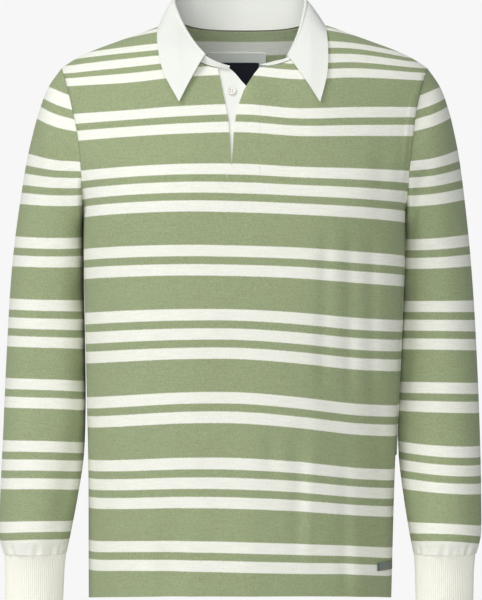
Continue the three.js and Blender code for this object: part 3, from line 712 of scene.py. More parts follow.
# %% Group: mottle
def make_mottle():
    """Slow, cloudy changes of tone over a piece, with a finer grain on top."""
    tree, inp, made = new_group(
        "mottle",
        {"Vector": None, "Cloud Scale": 14.0, "Grain Scale": 520.0},
        ["Cloud", "Grain"],
    )
    for label, detail in (("Cloud", 2.0), ("Grain", 1.0)):
        noise = add_node(tree, "ShaderNodeTexNoise")
        noise.inputs["Detail"].default_value = detail
        tree.links.new(inp["Vector"], noise.inputs["Vector"])
        tree.links.new(inp[label + " Scale"], noise.inputs["Scale"])
        tree.links.new(noise.outputs["Fac"], made[label])
    return tree


STRIPES, JERSEY, MOTTLE = make_stripes(), make_jersey(), make_mottle()
print("shared groups:", [g.name for g in (STRIPES, JERSEY, MOTTLE)])


# %% [markdown]
# ### The knit and its green and white yarns
#
# The base colour mixes the two yarns by the stripe mask, then lightens and darkens a little by row
# and by cloud. The bump is the loops. The knit is matt with a weak sheen, as cotton has. The inside
# of the body shows the same stripes in two paler shades: partly the paler reverse of the knit, and
# partly painted light for the inside of the neck, which the lamps hardly reach.

# %% Material: striped jersey
GREEN = (0.327, 0.378, 0.211, 1.0)
WHITE = (0.900, 0.893, 0.805, 1.0)
# Paler copies of the two yarns for the body's inside: partly a knit's paler reverse, and partly
# painted light where little light reaches inside the neck.
REVERSE_AND_PAINTED_LIGHT_GREEN = (0.47, 0.54, 0.33, 1.0)
REVERSE_AND_PAINTED_LIGHT_WHITE = (0.95, 0.955, 0.90, 1.0)
SLEEVE_WHITE_FROM = 0.6384


def new_material(name, roughness, sheen=0.0):
    material = bpy.data.materials.new(name)
    material.use_nodes = True
    tree = material.node_tree
    shader = tree.nodes["Principled BSDF"]
    shader.inputs["Roughness"].default_value = roughness
    shader.inputs["Sheen Weight"].default_value = sheen
    shader.inputs["Sheen Roughness"].default_value = 0.5
    shader.inputs["Specular IOR Level"].default_value = 0.25
    return material, tree, shader


def knit_map(tree):
    """Sockets of the knit map: distance along the row, and the course."""
    uv = add_node(tree, "ShaderNodeUVMap", uv_map="knit")
    split = add_node(tree, "ShaderNodeSeparateXYZ")
    tree.links.new(uv.outputs["UV"], split.inputs[0])
    return split.outputs["X"], split.outputs["Y"]


# A Mix node has a set of sockets for each kind of value. These are the places of its factor, its
# two colours and its mixed colour.
MIX_FACTOR, MIX_FIRST, MIX_SECOND, MIX_RESULT = 0, 6, 7, 2


def mix_colour(tree, amount, first, second, blend="MIX"):
    node = add_node(tree, "ShaderNodeMix", data_type="RGBA", blend_type=blend)
    for place, value in ((MIX_FACTOR, amount), (MIX_FIRST, first), (MIX_SECOND, second)):
        if isinstance(value, bpy.types.NodeSocket):
            tree.links.new(value, node.inputs[place])
        else:
            node.inputs[place].default_value = value
    return node.outputs[MIX_RESULT]


def toned(tree, colour, tone):
    """A colour made lighter or darker by a factor round 1."""
    grey = add_node(tree, "ShaderNodeCombineColor")
    for socket in grey.inputs:
        tree.links.new(tone, socket)
    return mix_colour(tree, 1.0, colour, grey.outputs[0], "MULTIPLY")


def object_vector(tree):
    return add_node(tree, "ShaderNodeTexCoord").outputs["Object"]


def striped_knit(name, white_from, green=GREEN, white=WHITE):
    material, tree, shader = new_material(name, 0.92, 0.12)
    along, course = knit_map(tree)
    loops = place_group(tree, JERSEY, Along=along, Course=course)
    cloud = place_group(tree, MOTTLE, Vector=object_vector(tree))
    mask = place_group(tree, STRIPES, Along=along, Course=course, White_From=white_from)
    base = mix_colour(tree, mask.outputs["White"], green, white)
    streak = math_node(tree, "MULTIPLY_ADD", loops.outputs["Yarn"], 0.20, 0.90)
    tone = math_node(tree, "MULTIPLY_ADD", cloud.outputs["Cloud"], 0.08, -0.04)
    depth = math_node(tree, "MULTIPLY_ADD", mask.outputs["White"], -0.34, 0.50)
    half_depth = math_node(tree, "MULTIPLY", depth, -0.5)
    grain = math_node(tree, "MULTIPLY_ADD", cloud.outputs["Grain"], depth, half_depth)
    total = math_node(tree, "ADD", streak, math_node(tree, "ADD", tone, grain))
    tree.links.new(toned(tree, base, total), shader.inputs["Base Color"])
    add_relief(tree, shader, loops.outputs["Height"], 0.25, 0.0004)
    return material


BODY_KNIT = striped_knit("striped_knit_body", NO_WHITE_END)
SLEEVE_KNIT = striped_knit("striped_knit_sleeve", SLEEVE_WHITE_FROM)
# The body's inner faces take this paler copy of the knit: a knit's reverse, and painted light for
# the dim inside of the neck.
BODY_REVERSE_AND_PAINTED_LIGHT = striped_knit("striped_knit_reverse_and_painted_light", NO_WHITE_END, REVERSE_AND_PAINTED_LIGHT_GREEN, REVERSE_AND_PAINTED_LIGHT_WHITE)


# %% [markdown]
# ### Woven shirting, rib, tape and the hard finishes
#
# The collar and the underlap are a plain white poplin, stiffened inside, so they are smooth with a
# very fine weave. The cuffs are a white rib in the sleeve's yarn. The patch, the label and the tab
# are woven tapes. Only the button has a gloss.

# %% Group: plain weave
def make_weave():
    """Height of a plain weave from two coordinates and a thread pitch, all in metres."""
    defaults = {"Along": 0.0, "Across": 0.0, "Thread": 0.0005}
    tree, inp, made = new_group("plain_weave", defaults, ["Height"])
    waves = []
    for label in ("Along", "Across"):
        turn = math_node(tree, "DIVIDE", inp[label], inp["Thread"])
        waves.append(math_node(tree, "SINE", math_node(tree, "MULTIPLY", turn, math.pi)))
    woven = math_node(tree, "MULTIPLY", waves[0], waves[1])
    tree.links.new(math_node(tree, "ABSOLUTE", woven), made["Height"])
    return tree


WEAVE = make_weave()


def woven(name, colour, roughness, thread, strength, sheen=0.05, spread=0.03):
    material, tree, shader = new_material(name, roughness, sheen)
    along, across = knit_map(tree)
    threads = place_group(tree, WEAVE, Along=along, Across=across, Thread=thread)
    cloud = place_group(tree, MOTTLE, Vector=object_vector(tree), Cloud_Scale=22.0)
    grain = math_node(tree, "MULTIPLY_ADD", cloud.outputs["Grain"], 2 * spread, 1 - spread)
    tone = math_node(tree, "MULTIPLY_ADD", cloud.outputs["Cloud"], spread, -spread / 2)
    total = math_node(tree, "ADD", grain, tone)
    tree.links.new(toned(tree, colour, total), shader.inputs["Base Color"])
    add_relief(tree, shader, threads.outputs["Height"], strength, 0.0002)
    return material


POPLIN = woven("white_poplin", (0.835, 0.840, 0.790, 1.0), 0.8, 0.0004, 0.15, spread=0.012)
RIB_YARN = woven("rib_yarn", (0.950, 0.930, 0.835, 1.0), 0.92, 0.0012, 0.25, sheen=0.12)
PATCH_TAPE = woven("patch_tape", (0.92, 0.95, 0.92, 1.0), 0.8, 0.0006, 0.2)
LABEL_NAVY = woven("label_navy", (0.018, 0.020, 0.036, 1.0), 0.6, 0.0006, 0.3)
TAB_GREY = woven("tab_grey", (0.19, 0.215, 0.195, 1.0), 0.6, 0.0008, 0.4, spread=0.08)


# %% Materials: thread and button
def plain_finish(name, colour, roughness, spread):
    material, tree, shader = new_material(name, roughness)
    cloud = place_group(tree, MOTTLE, Vector=object_vector(tree), Cloud_Scale=160.0)
    tone = math_node(tree, "MULTIPLY_ADD", cloud.outputs["Cloud"], 2 * spread, 1 - spread)
    tree.links.new(toned(tree, colour, tone), shader.inputs["Base Color"])
    return material


THREAD_WHITE = plain_finish("thread_white", (0.86, 0.86, 0.80, 1.0), 0.7, 0.03)
THREAD_GREEN = plain_finish("thread_green", (0.30, 0.35, 0.20, 1.0), 0.7, 0.05)
BUTTON_FACE = plain_finish("button_resin", (0.86, 0.83, 0.76, 1.0), 0.3, 0.04)
button_shader = BUTTON_FACE.node_tree.nodes["Principled BSDF"]
button_shader.inputs["Specular IOR Level"].default_value = 0.5
button_shader.inputs["Coat Weight"].default_value = 0.2
print("materials:", len(bpy.data.materials))

# %% [markdown]
# ## Front and back panels
#
# A panel's grid has its columns from one side to the other and its rows from the hem to the
# shoulders and neckline, like the knit itself. The armhole, shoulder and neck edges are edges of
# the grid, so nothing has to be trimmed. The neck opening of the front is made the same way: above
# its lower end, one column is split in two and the halves part along the two edges of the slit.

# %% Where a panel's columns and rows go
NECK_SHARE = 0.5


def ring_share(u, z):
    power = read(TORSO, "z", "round", np.minimum(z, UNDERARM_Z))
    wave = np.sin(np.pi * u / 2)
    return np.sign(wave) * np.abs(wave) ** (2 / power)


def arch_at(u, z):
    return HEM_ARCH * np.cos(np.pi * u / 2) * smooth((ARCH_START_Z - z) / ARCH_SPREAD)


def top_place(u, front):
    """Where the column at share u of the panel ends on its upper edge: x and z."""
    size = np.abs(u)
    t = (size - NECK_SHARE) / (1 - NECK_SHARE)
    x = mix(NECK_X, TIP_X, t)
    turn = 180 - 90 * size / NECK_SHARE if front else 90 * size / NECK_SHARE
    seam = neck_point(np.clip(turn, 0, 180) * np.where(u < 0, -1, 1), front)
    on_shoulder = size > NECK_SHARE - 1e-6
    neck_x = seam[:, 0] - lean_at(seam[:, 2])
    top_x = np.where(on_shoulder, np.sign(u) * x, neck_x)
    return top_x, np.where(on_shoulder, ridge_at(x), seam[:, 2]), on_shoulder


def lower_row(u, level, front):
    face = -1 if front else 1
    z = level + arch_at(u, level)
    low_z = np.minimum(z, UNDERARM_Z)
    x = read(TORSO, "z", "half", low_z) * ring_share(u, z)
    row = body_point(x, low_z, front)
    row[:, 2] = z
    ends = np.abs(u) > 1 - 1e-9
    row[ends, 1] = face * HALF_GAP
    normals = np.zeros_like(row)
    normals[ends, 0] = u[ends]
    return row, normals, ends


def upper_row(u, t, front):
    face = -1 if front else 1
    size = np.abs(u)
    top_x, top_z, on_shoulder = top_place(u, front)
    base = UNDERARM_Z + arch_at(u, UNDERARM_Z)
    rise = mix(np.sin(np.pi * t / 2), t, smooth((NECK_SHARE + 0.1 - size) / 0.3))
    bent = mix(rise, (1 - np.cos(np.pi * t)) / 2, size**8)
    z = mix(base, top_z, bent)
    top_half = top_x / armhole_x(top_z)
    x = armhole_x(z) * mix(ring_share(u, z), top_half, smooth(t))
    row = body_point(top_x if t == 1 else x, z, front, detail=t < 1)
    normals, fixed = np.zeros_like(row), np.zeros(len(u), bool)
    if t == 1:
        row[on_shoulder, 1] = face * HALF_GAP
        slope = (ridge_at(top_x + 1) - ridge_at(top_x - 1)) / 2
        normals[on_shoulder] = unit(points(-slope, 0 * slope, 0 * slope + 1))[on_shoulder]
        fixed |= on_shoulder
    for sign in (-1, 1):
        end = u * sign > 1 - 1e-9
        if end.any():
            point, out, to_sleeve = armhole_seam(sign, t, front)
            row[end] = point - to_sleeve * HALF_GAP
            if t == 1:
                row[end, 1] = face * HALF_GAP
            normals[end], fixed = out, fixed | end
    return row, normals, fixed


def panel_row(u, part, t, front):
    if part == "lower":
        return lower_row(u, mix(HEM_Z, UNDERARM_Z, t), front)
    return upper_row(u, t, front)


# %% Building a panel's grid
def panel_grid(shares, row_list, front):
    """Points, set normals and their mask; shares has a row of column places for each row."""
    made = [panel_row(u, part, t, front) for u, (part, t) in zip(shares, row_list)]
    outer, normals, fixed = (np.array(k) for k in zip(*made))
    face = np.array([0, -1.0 if front else 1.0, 0.4])
    smooth_normals = grid_normals(outer, face)
    return outer, np.where(fixed[..., None], normals, smooth_normals)


def panel_rows(body_rows, yoke_rows):
    lower = [("lower", t) for t in np.linspace(0, 1, body_rows + 1)]
    return lower + [("upper", t) for t in np.linspace(0, 1, yoke_rows + 1)[1:]]


# %% The back panel
def make_back():
    rows = panel_rows(120, 62)
    shares = [np.linspace(-1, 1, 121)] * len(rows)
    outer, normals = panel_grid(shares, rows, False)
    run = along_rows(outer)
    uv = np.stack([run - run[:, -1:] / 2, body_course(outer, False)], axis=-1)
    return grid_shell("back_panel", outer, normals, KNIT, uv, BODY_KNIT, inside=BODY_REVERSE_AND_PAINTED_LIGHT)


back_panel = make_back()

# %% [markdown]
# ### The front and its slit
#
# Two tables hold the edges of the neck slit from its lower end up. For each row the lesson looks
# for the column place where the row crosses an edge, and draws the nearby columns towards it.

# %% Edges of the slit
OPENING_LEFT = table(
    "x z",
    (-12.9, -181), (-14.3, -149.3), (-16.8, -122), (-20.5, -103), (-26.8, -71.4),
    (-29.5, -60), (-30.5, -40),
)
OPENING_RIGHT = table(
    "x z",
    (-11.9, -181), (-9.8, -140.8), (-7.0, -119), (-2.4, -100.8), (4.5, -83),
    (15.1, -66.2), (22.0, -57), (24.0, -40),
)
OPENING_LOW = -181.0
DRAWN_WIDTH = 0.35


def crossing(row_u, row, edge):
    """The column place where a row crosses an edge of the slit."""
    gap = row[:, 0] - np.interp(row[:, 2], edge["z"], edge["x"])
    return np.interp(0.0, gap, row_u)


def slit_crossings(rows):
    """For each row its height at the slit and its two crossings, from closely set columns."""
    dense = np.linspace(-0.7, 0.7, 401)
    found = []
    for part, t in rows:
        row = panel_row(dense, part, t, True)[0]
        pair = (crossing(dense, row, OPENING_LEFT), crossing(dense, row, OPENING_RIGHT))
        found.append((np.interp(pair[0], dense, row[:, 2]), *pair))
    return found


# %% The front panel
def slit_shares(columns, crossings, first_open):
    """The split column's number, and the column places of each row left and right of it."""
    split = (crossings[first_open][1] + crossings[first_open][2]) / 2
    k = int(np.abs(columns - split).argmin())
    left, right = columns[: k + 1], columns[k:]
    near_left = smooth(1 - (split - left) / DRAWN_WIDTH)
    near_right = smooth(1 - (right - split) / DRAWN_WIDTH)
    shares_left, shares_right = [], []
    for i, crossed in enumerate(crossings):
        at_left, at_right = crossed[1:]
        if i < first_open:
            at_left = at_right = split
        shares_left.append(left + (at_left - left[-1]) * near_left)
        shares_right.append(right + (at_right - right[0]) * near_right)
    return k, shares_left, shares_right


def make_front():
    rows = panel_rows(140, 72)
    crossings = slit_crossings(rows)
    first_open = next(i for i, c in enumerate(crossings) if c[0] > OPENING_LOW)
    k, shares_left, shares_right = slit_shares(np.linspace(-1, 1, 161), crossings, first_open)
    outer_l, normal_l = panel_grid(shares_left, rows, True)
    outer_r, normal_r = panel_grid(shares_right, rows, True)
    whole = np.concatenate([outer_l, outer_r[:, 1:]], axis=1)
    run = along_rows(whole)
    run = run - run[:, k : k + 1]
    uv_l = np.stack([run[:, : k + 1], body_course(outer_l, True)], axis=-1)
    uv_r = np.stack([run[:, k:], body_course(outer_r, True)], axis=-1)
    count_l = outer_l.shape[0] * outer_l.shape[1]
    index_l = np.arange(count_l).reshape(outer_l.shape[:2])
    index_r = count_l + np.arange(outer_r.shape[0] * outer_r.shape[1]).reshape(outer_r.shape[:2])
    index_r[:first_open, 0] = index_l[:first_open, -1]
    outer = np.concatenate([outer_l.reshape(-1, 3), outer_r.reshape(-1, 3)])
    normal = np.concatenate([normal_l.reshape(-1, 3), normal_r.reshape(-1, 3)])
    quads = np.concatenate([grid_quads(index_l), grid_quads(index_r)])
    uvs = np.concatenate([quad_values(uv_l), quad_values(uv_r)])
    used = np.unique(quads)
    renumber = np.zeros(len(outer), int)
    renumber[used] = np.arange(len(used))
    outer, normal, quads = outer[used], normal[used], renumber[quads]
    return shell("front_panel", outer, outer - normal * KNIT, quads, uvs, BODY_KNIT, BODY_REVERSE_AND_PAINTED_LIGHT)


front_panel = make_front()

# %% [markdown]
# ## Sleeves
#
# A sleeve is a tube whose first ring is the armhole seam and whose last is gathered into the cuff.
# The rings between are tilted ovals, read from a table: their outermost and innermost points, their
# reach to the front, and how far the forearm swings forward. The seam of the tube and of its map
# runs down the underarm, where the real one is.

# %% Sleeve sections and their knitted rows
SLEEVE = table(
    "outX outZ inX inZ reach forward",
    (230.5, -51.8, 199.5, -234, 64, 0),
    (247.5, -76, 201.4, -246, 66, -4),
    (258.5, -104, 201.3, -258, 66, -9),
    (266.5, -133, 201.2, -271, 66, -13),
    (274.0, -167, 201.0, -287, 65, -17),
    (281.0, -212, 200.9, -310, 63, -20),
    (289.0, -276, 200.4, -349, 61, -22),
    (294.6, -345, 199.3, -396, 59, -21),
    (299.0, -440, 197.9, -470, 56, -13),
    (301.3, -526, 198.6, -538, 53, 1),
    (302.4, -586, 204.8, -590, 49, 13),
    (302.2, -636, 212.6, -637, 45, 22),
    (296.2, -661.8, 217.4, -661.8, 38, 27),
)
SLEEVE["share"] = np.linspace(0, 1, len(SLEEVE["outX"]))

SLEEVE_COURSES = {
    -1: table(
        "course outer front inner",
        (0.0, 0.0, -33.0, -38.0),
        (90.5, -95.2, -119.9, -123.8),
        (181.0, -191.9, -198.9, -198.6),
        (271.5, -283.0, -285.7, -284.5),
        (362.0, -373.2, -374.8, -376.1),
        (452.5, -461.5, -461.9, -465.2),
        (543.0, -551.7, -550.1, -553.5),
        (633.5, -640.9, -637.2, -639.0),
    ),
    1: table(
        "course outer front inner",
        (0.0, 0.0, -33.0, -38.0),
        (90.5, -95.2, -119.9, -123.8),
        (181.0, -185.8, -196.9, -199.2),
        (271.5, -281.7, -286.6, -286.9),
        (362.0, -377.3, -376.5, -376.4),
        (452.5, -468.1, -466.3, -466.2),
        (543.0, -558.6, -556.3, -551.5),
        (633.5, -645.0, -639.3, -641.4),
    ),
}

# Soft folds of a sleeve: where along it and round it (degrees, 0 outer, 90 front, 180 inner), how
# long and wide in shares and degrees, how much it winds, and how deep.
SLEEVE_FOLDS = {
    -1: table(
        "share turn long wide wind depth",
        (0.62, 200, 0.035, 90, 20, 2.4),
        (0.72, 190, 0.028, 80, -30, 1.8),
        (0.50, 150, 0.05, 40, 120, 1.4),
        (0.80, 135, 0.12, 26, -60, 2.2),
        (0.33, 60, 0.10, 30, 160, 0.9),
        (0.18, 100, 0.10, 26, 60, 1.2),
        (0.60, -80, 0.05, 50, -80, 1.4),
        (0.84, -60, 0.06, 40, 60, 1.3),
        (0.25, -110, 0.09, 30, 100, 1.3),
    ),
    1: table(
        "share turn long wide wind depth",
        (0.62, 195, 0.035, 90, -20, 2.4),
        (0.71, 185, 0.028, 80, 30, 1.8),
        (0.16, 125, 0.11, 22, 40, 2.6),
        (0.46, 60, 0.05, 40, -120, 1.0),
        (0.78, 130, 0.12, 26, 50, 1.6),
        (0.86, 40, 0.05, 36, -80, 1.2),
        (0.30, -100, 0.09, 30, -100, 1.3),
        (0.55, -70, 0.06, 46, 80, 1.4),
        (0.82, -90, 0.06, 40, -60, 1.3),
    ),
}


# %% Points of a sleeve
SLEEVE_COLUMNS = ("outX", "outZ", "inX", "inZ", "reach", "forward")
FRONT_PRESSED, BACK_PRESSED = {-1: 0.9, 1: 0.3}, 0.6
CUFF_SWELL = 2.2


def body_side(sign, z):
    return read(TORSO, "z", "half", z) + sign * lean_at(z)


def oval_point(sign, section, angle):
    """A point of a tilted oval; angle 0 is its outer side and 90 degrees its front."""
    nearest = body_side(sign, section["inZ"]) + ARM_CLEARANCE
    nearest = nearest - sign * arm_lean_at(section["inZ"])
    in_x = np.maximum(section["inX"], nearest)
    c, s = np.cos(angle), np.sin(angle)
    round_to = section.get("front_round", 2.0), section.get("back_round", 2.0)
    inner_power = np.where(s > 0, 2 / round_to[0], 2 / round_to[1])
    power = np.where(c < 0, inner_power, 1.0)
    c, s = np.sign(c) * np.abs(c) ** power, np.sign(s) * np.abs(s) ** power
    x = (section["outX"] + in_x) / 2 + (section["outX"] - in_x) / 2 * c
    z = (section["outZ"] + section["inZ"]) / 2 + (section["outZ"] - section["inZ"]) / 2 * c
    y = -section["forward"] - section["reach"] * s
    return points(sign * x + arm_lean_at(z), y, z)


def turn_apart(angle, turn):
    """Degrees between a place round the sleeve and a fold's place, the shorter way."""
    return (np.degrees(angle) - turn + 180) % 360 - 180


def sleeve_relief(sign, t, angle):
    """How far the folds sink the sleeve; above the cuff the cloth swells out instead."""
    rows = SLEEVE_FOLDS[sign]
    total = -CUFF_SWELL * bump(t, 0.93, 0.03) * (0.5 - 0.5 * np.cos(angle + 0.5))
    for i in range(len(rows["share"])):
        off = t - rows["share"][i]
        apart = turn_apart(angle, rows["turn"][i] + rows["wind"][i] * off)
        total = total + rows["depth"][i] * bump(off, 0, rows["long"][i]) * bump(
            apart, 0, rows["wide"][i] / 1.6
        )
    return total


def gathers(t, angle):
    """Little pleats where the sleeve is drawn in to the cuff."""
    wave = 0.8 * np.sin(15 * angle + 1.2) + 0.6 * np.sin(23 * angle + 0.4) + 0.5 * np.sin(9 * angle)
    return wave * bump(t, 0.985, 0.03)


def ring_on_seam(sign, angles):
    """The armhole seam's points and directions at the angles of a sleeve's first ring."""
    wrapped = np.mod(angles, 2 * np.pi)
    front = wrapped <= np.pi
    way = np.where(front, 1 - wrapped / np.pi, wrapped / np.pi - 1)
    seam, out, to_sleeve = np.zeros((3, len(angles), 3))
    for side in (True, False):
        pick = front if side else ~front
        seam[pick], out[pick], to_sleeve[pick] = armhole_seam(sign, way[pick], side)
    return seam, out, to_sleeve


def make_sleeve(sign):
    name = "sleeve_cloth_left" if sign < 0 else "sleeve_cloth_right"
    angles = np.pi + ring_angles(144)
    seam, out, to_sleeve = ring_on_seam(sign, angles)
    shares = np.linspace(0, 1, 171)
    first = {c: SLEEVE[c][0] for c in SLEEVE_COLUMNS}
    side_out = points(sign * np.cos(angles), -np.sin(angles), 0)
    rows = []
    for t in shares:
        section = {c: read(SLEEVE, "share", c, t) for c in SLEEVE_COLUMNS}
        pressed = smooth(t / 0.12) * (1 - smooth((t - 0.64) / 0.14))
        section["front_round"] = 2.0 + FRONT_PRESSED[sign] * pressed
        section["back_round"] = 2.0 + BACK_PRESSED * pressed
        fade = (1 - smooth(t / 0.3)) ** 2
        start = seam + to_sleeve * HALF_GAP - oval_point(sign, first, angles)
        row = oval_point(sign, section, angles) + start * fade
        sunk = (sleeve_relief(sign, t, angles) + gathers(t, angles)) * smooth(t / 0.06)
        near_body = smooth((np.cos(angles) + 0.97) / 0.25)
        rows.append(row - side_out * (sunk * near_body)[:, None])
    outer = np.array(rows)
    hint = np.repeat(side_out[None], len(shares), axis=0).copy()
    hint[: int(0.25 * len(shares)), :, 2] = np.cos(angles)
    normals = grid_normals(outer, hint, wraps=True)
    normals[0] = out
    run = along_rows(np.concatenate([outer, outer[:, :1]], axis=1))
    course = sleeve_course(sign, outer, angles)
    course = np.concatenate([course, course[:, :1]], axis=1)
    uv = np.stack([run - run[:, -1:] / 2, course], axis=-1)
    return grid_shell(name, outer, normals, KNIT, uv, SLEEVE_KNIT, wraps=True)


def sleeve_course(sign, outer, angles):
    """Course of every point: a mix of the table's outer, front and inner heights."""
    rows = SLEEVE_COURSES[sign]
    facing = np.sin(angles) ** 2
    outward = (1 + np.cos(angles)) / 2 - facing / 2
    inward = (1 - np.cos(angles)) / 2 - facing / 2
    heights = (
        rows["front"][:, None] * facing
        + rows["outer"][:, None] * outward
        + rows["inner"][:, None] * inward
    )
    columns = []
    for j in range(len(angles)):
        line_heights = np.repeat(heights[:, j : j + 1], len(outer), 1)
        columns.append(read_course(line_heights, outer[:, j, 2], rows["course"]))
    return np.array(columns).T


sleeves = {sign: make_sleeve(sign) for sign in (-1, 1)}

# %% [markdown]
# ## Cuffs
#
# A cuff is a short tube of 1×1 rib: a fine wale stands up, the next one sinks. Bump alone would
# leave a smooth outline, so the ribs are real. The tube is a grid with six columns to each rib, and
# a Geometry Nodes tree moves its faces out and in by a wave read from an attribute. The tree takes
# the height of a rib as an input, so both cuffs use it.

# %% Geometry Nodes helpers
def geometry_tree(name, inputs):
    """A Geometry Nodes tree with a mesh in and out and the named number or material inputs."""
    tree = bpy.data.node_groups.new(name, "GeometryNodeTree")
    tree.interface.new_socket("Mesh", in_out="INPUT", socket_type="NodeSocketGeometry")
    for label, kind, default in inputs:
        socket = tree.interface.new_socket(label, in_out="INPUT", socket_type=kind)
        if default is not None:
            socket.default_value = default
    tree.interface.new_socket("Mesh", in_out="OUTPUT", socket_type="NodeSocketGeometry")
    return tree, tree.nodes.new("NodeGroupInput"), tree.nodes.new("NodeGroupOutput")


def finish_tree(tree, given, made, geometry):
    realize = add_node(tree, "GeometryNodeRealizeInstances")
    tree.links.new(geometry, realize.inputs[0])
    paint = add_node(tree, "GeometryNodeSetMaterial")
    tree.links.new(realize.outputs[0], paint.inputs["Geometry"])
    tree.links.new(given.outputs["Material"], paint.inputs["Material"])
    tree.links.new(paint.outputs[0], made.inputs[0])


def grow(made, tree, **values):
    """Runs a tree on an object and keeps the result as the object's plain mesh."""
    modifier = made.modifiers.new("grow", "NODES")
    modifier.node_group = tree
    sockets = {s.name: s.identifier for s in tree.interface.items_tree if s.in_out == "INPUT"}
    for label, value in values.items():
        modifier[sockets[label.replace("_", " ")]] = value
    grown = made.evaluated_get(bpy.context.evaluated_depsgraph_get())
    mesh = bpy.data.meshes.new_from_object(grown)
    made.modifiers.remove(modifier)
    old, made.data = made.data, mesh
    bpy.data.meshes.remove(old)
    return made


def make_rib_tree():
    tree, given, made = geometry_tree(
        "rib",
        [("Height", "NodeSocketFloat", 0.0005), ("Material", "NodeSocketMaterial", None)],
    )
    turn = add_node(tree, "GeometryNodeInputNamedAttribute", data_type="FLOAT")
    turn.inputs["Name"].default_value = "rib_turn"
    wave = math_node(tree, "COSINE", turn.outputs["Attribute"])
    lift = math_node(tree, "MULTIPLY", wave, given.outputs["Height"])
    along_normal = add_node(tree, "ShaderNodeVectorMath", operation="SCALE")
    tree.links.new(add_node(tree, "GeometryNodeInputNormal").outputs[0], along_normal.inputs[0])
    tree.links.new(lift, along_normal.inputs["Scale"])
    move = add_node(tree, "GeometryNodeSetPosition")
    tree.links.new(given.outputs["Mesh"], move.inputs["Geometry"])
    tree.links.new(along_normal.outputs[0], move.inputs["Offset"])
    finish_tree(tree, given, made, move.outputs[0])
    return tree


RIB_TREE = make_rib_tree()

# %% The cuffs
CUFF = table(
    "outX inX z reach",
    (295.0, 218.0, -662, 36),
    (293.6, 219.6, -680, 33),
    (293.0, 220.4, -705, 32),
    (292.4, 220.8, -722, 33),
)
CUFF_FORWARD = 27.0
RIBS, RIB_STEPS, RIB_HEIGHT = 90, 6, 0.00042


def make_cuff(sign):
    name = "rib_cuff_left" if sign < 0 else "rib_cuff_right"
    angles = ring_angles(RIBS * RIB_STEPS)
    side_out = points(sign * np.cos(angles), -np.sin(angles), 0)
    wave = 0.5 * np.sin(3 * angles + 0.8) + 0.35 * np.sin(5 * angles)
    rows = []
    for z in np.linspace(CUFF["z"][0] - HALF_GAP, CUFF["z"][-1], 15):
        section = {c: read(CUFF, "z", c, z) for c in ("outX", "inX", "reach")}
        section.update(outZ=z, inZ=z, forward=CUFF_FORWARD)
        row = oval_point(sign, section, angles)
        rows.append(row + side_out * (wave * smooth((-690 - z) / 40) - 0.4)[:, None])
    outer = np.array(rows)
    normals = grid_normals(outer, np.repeat(side_out[None], len(rows), axis=0), wraps=True)
    run = along_rows(np.concatenate([outer, outer[:, :1]], axis=1))
    depth = np.repeat(down_columns(outer)[:, :1], run.shape[1], axis=1)
    uv = np.stack([run, depth], axis=-1)
    made = grid_shell(name, outer, normals, RIB, uv, RIB_YARN, wraps=True)
    turn = np.tile(RIBS * angles, 2 * len(rows)).astype(np.float32)
    attribute = made.data.attributes.new("rib_turn", "FLOAT", "POINT")
    attribute.data.foreach_set("value", turn)
    return grow(made, RIB_TREE, Height=RIB_HEIGHT, Material=RIB_YARN)


cuffs = {sign: make_cuff(sign) for sign in (-1, 1)}

# %% [markdown]
# ## The collar
#
# The collar is a shirt collar in two parts. The stand rises from the neckline seam, and the leaf
# turns over its top and lies on the shoulders with two points in front. Both run through the same
# stations round the neck: `turn` is the place on the neckline, `fold` the top of the stand, `edge`
# the leaf's free edge, and `lift` how far that edge is off the cloth below.

# %% Collar stations
STAND_ENDS = (
    ((-172, -14.5, -85, -56.4), (-163, -29.3, -85, -51.6)),
    ((157, 39.5, -77.5, -49.6), (166, 22.5, -80, -54.0)),
)
LEAF = table(
    "turn fold_x fold_y fold_z edge_x edge_z lift",
    (-152, -45.3, -81.5, -42.9, -76.9, -101.6, 5),
    (-136, -57, -68.5, -29.2, -96.4, -64.5, 4),
    (-118, -69.7, -46, -9.4, -103.1, -37.6, 3.5),
    (-103, -80, -24, 11.6, -105.8, -12.4, 3),
    (-87, -86.5, 6, 33, -103, 2.5, 3),
    (-66, -79, 34, 39, -93, -8, 3),
    (-45, -61, 55, 42, -68, -9, 3),
    (0, 0, 74, 44.5, 0, -8, 3),
    (45, 58, 55, 42, 67, -9, 3),
    (66, 75, 34, 39, 92, -8, 3),
    (87, 81.5, 6, 33, 104, 2.5, 3),
    (103, 78, -24, 11.6, 106.2, -12.4, 3),
    (118, 72.5, -46, -9.4, 107.1, -37.6, 3.5),
    (134, 64.8, -62, -28.5, 105.2, -66.3, 4),
    (146, 56.8, -73.5, -44, 96.3, -102, 5),
)
STATION_STEPS = 9


def along_stations(through):
    """Points of a centripetal spline through the given points, the same count between each two."""
    p = np.asarray(through, float)
    p = np.concatenate([[2 * p[0] - p[1]], p, [2 * p[-1] - p[-2]]])
    gaps = np.linalg.norm(np.diff(p, axis=0), axis=1) ** 0.5
    gaps = np.where(gaps < 1e-4, 1.0, gaps)
    made = []
    for i in range(1, len(p) - 2):
        (a, b, c, d), (g0, g1, g2) = p[i - 1 : i + 3], gaps[i - 1 : i + 2]
        start = ((b - a) / g0 - (c - a) / (g0 + g1) + (c - b) / g1) * g1
        end = ((c - b) / g1 - (d - b) / (g1 + g2) + (d - c) / g2) * g1
        for t in np.linspace(0, 1, STATION_STEPS + 1)[:-1]:
            rest = -3 * b + 3 * c - 2 * start - end, 2 * b - 2 * c + start + end
            made.append(b + start * t + rest[0] * t**2 + rest[1] * t**3)
    return np.array(made + [p[-2]])


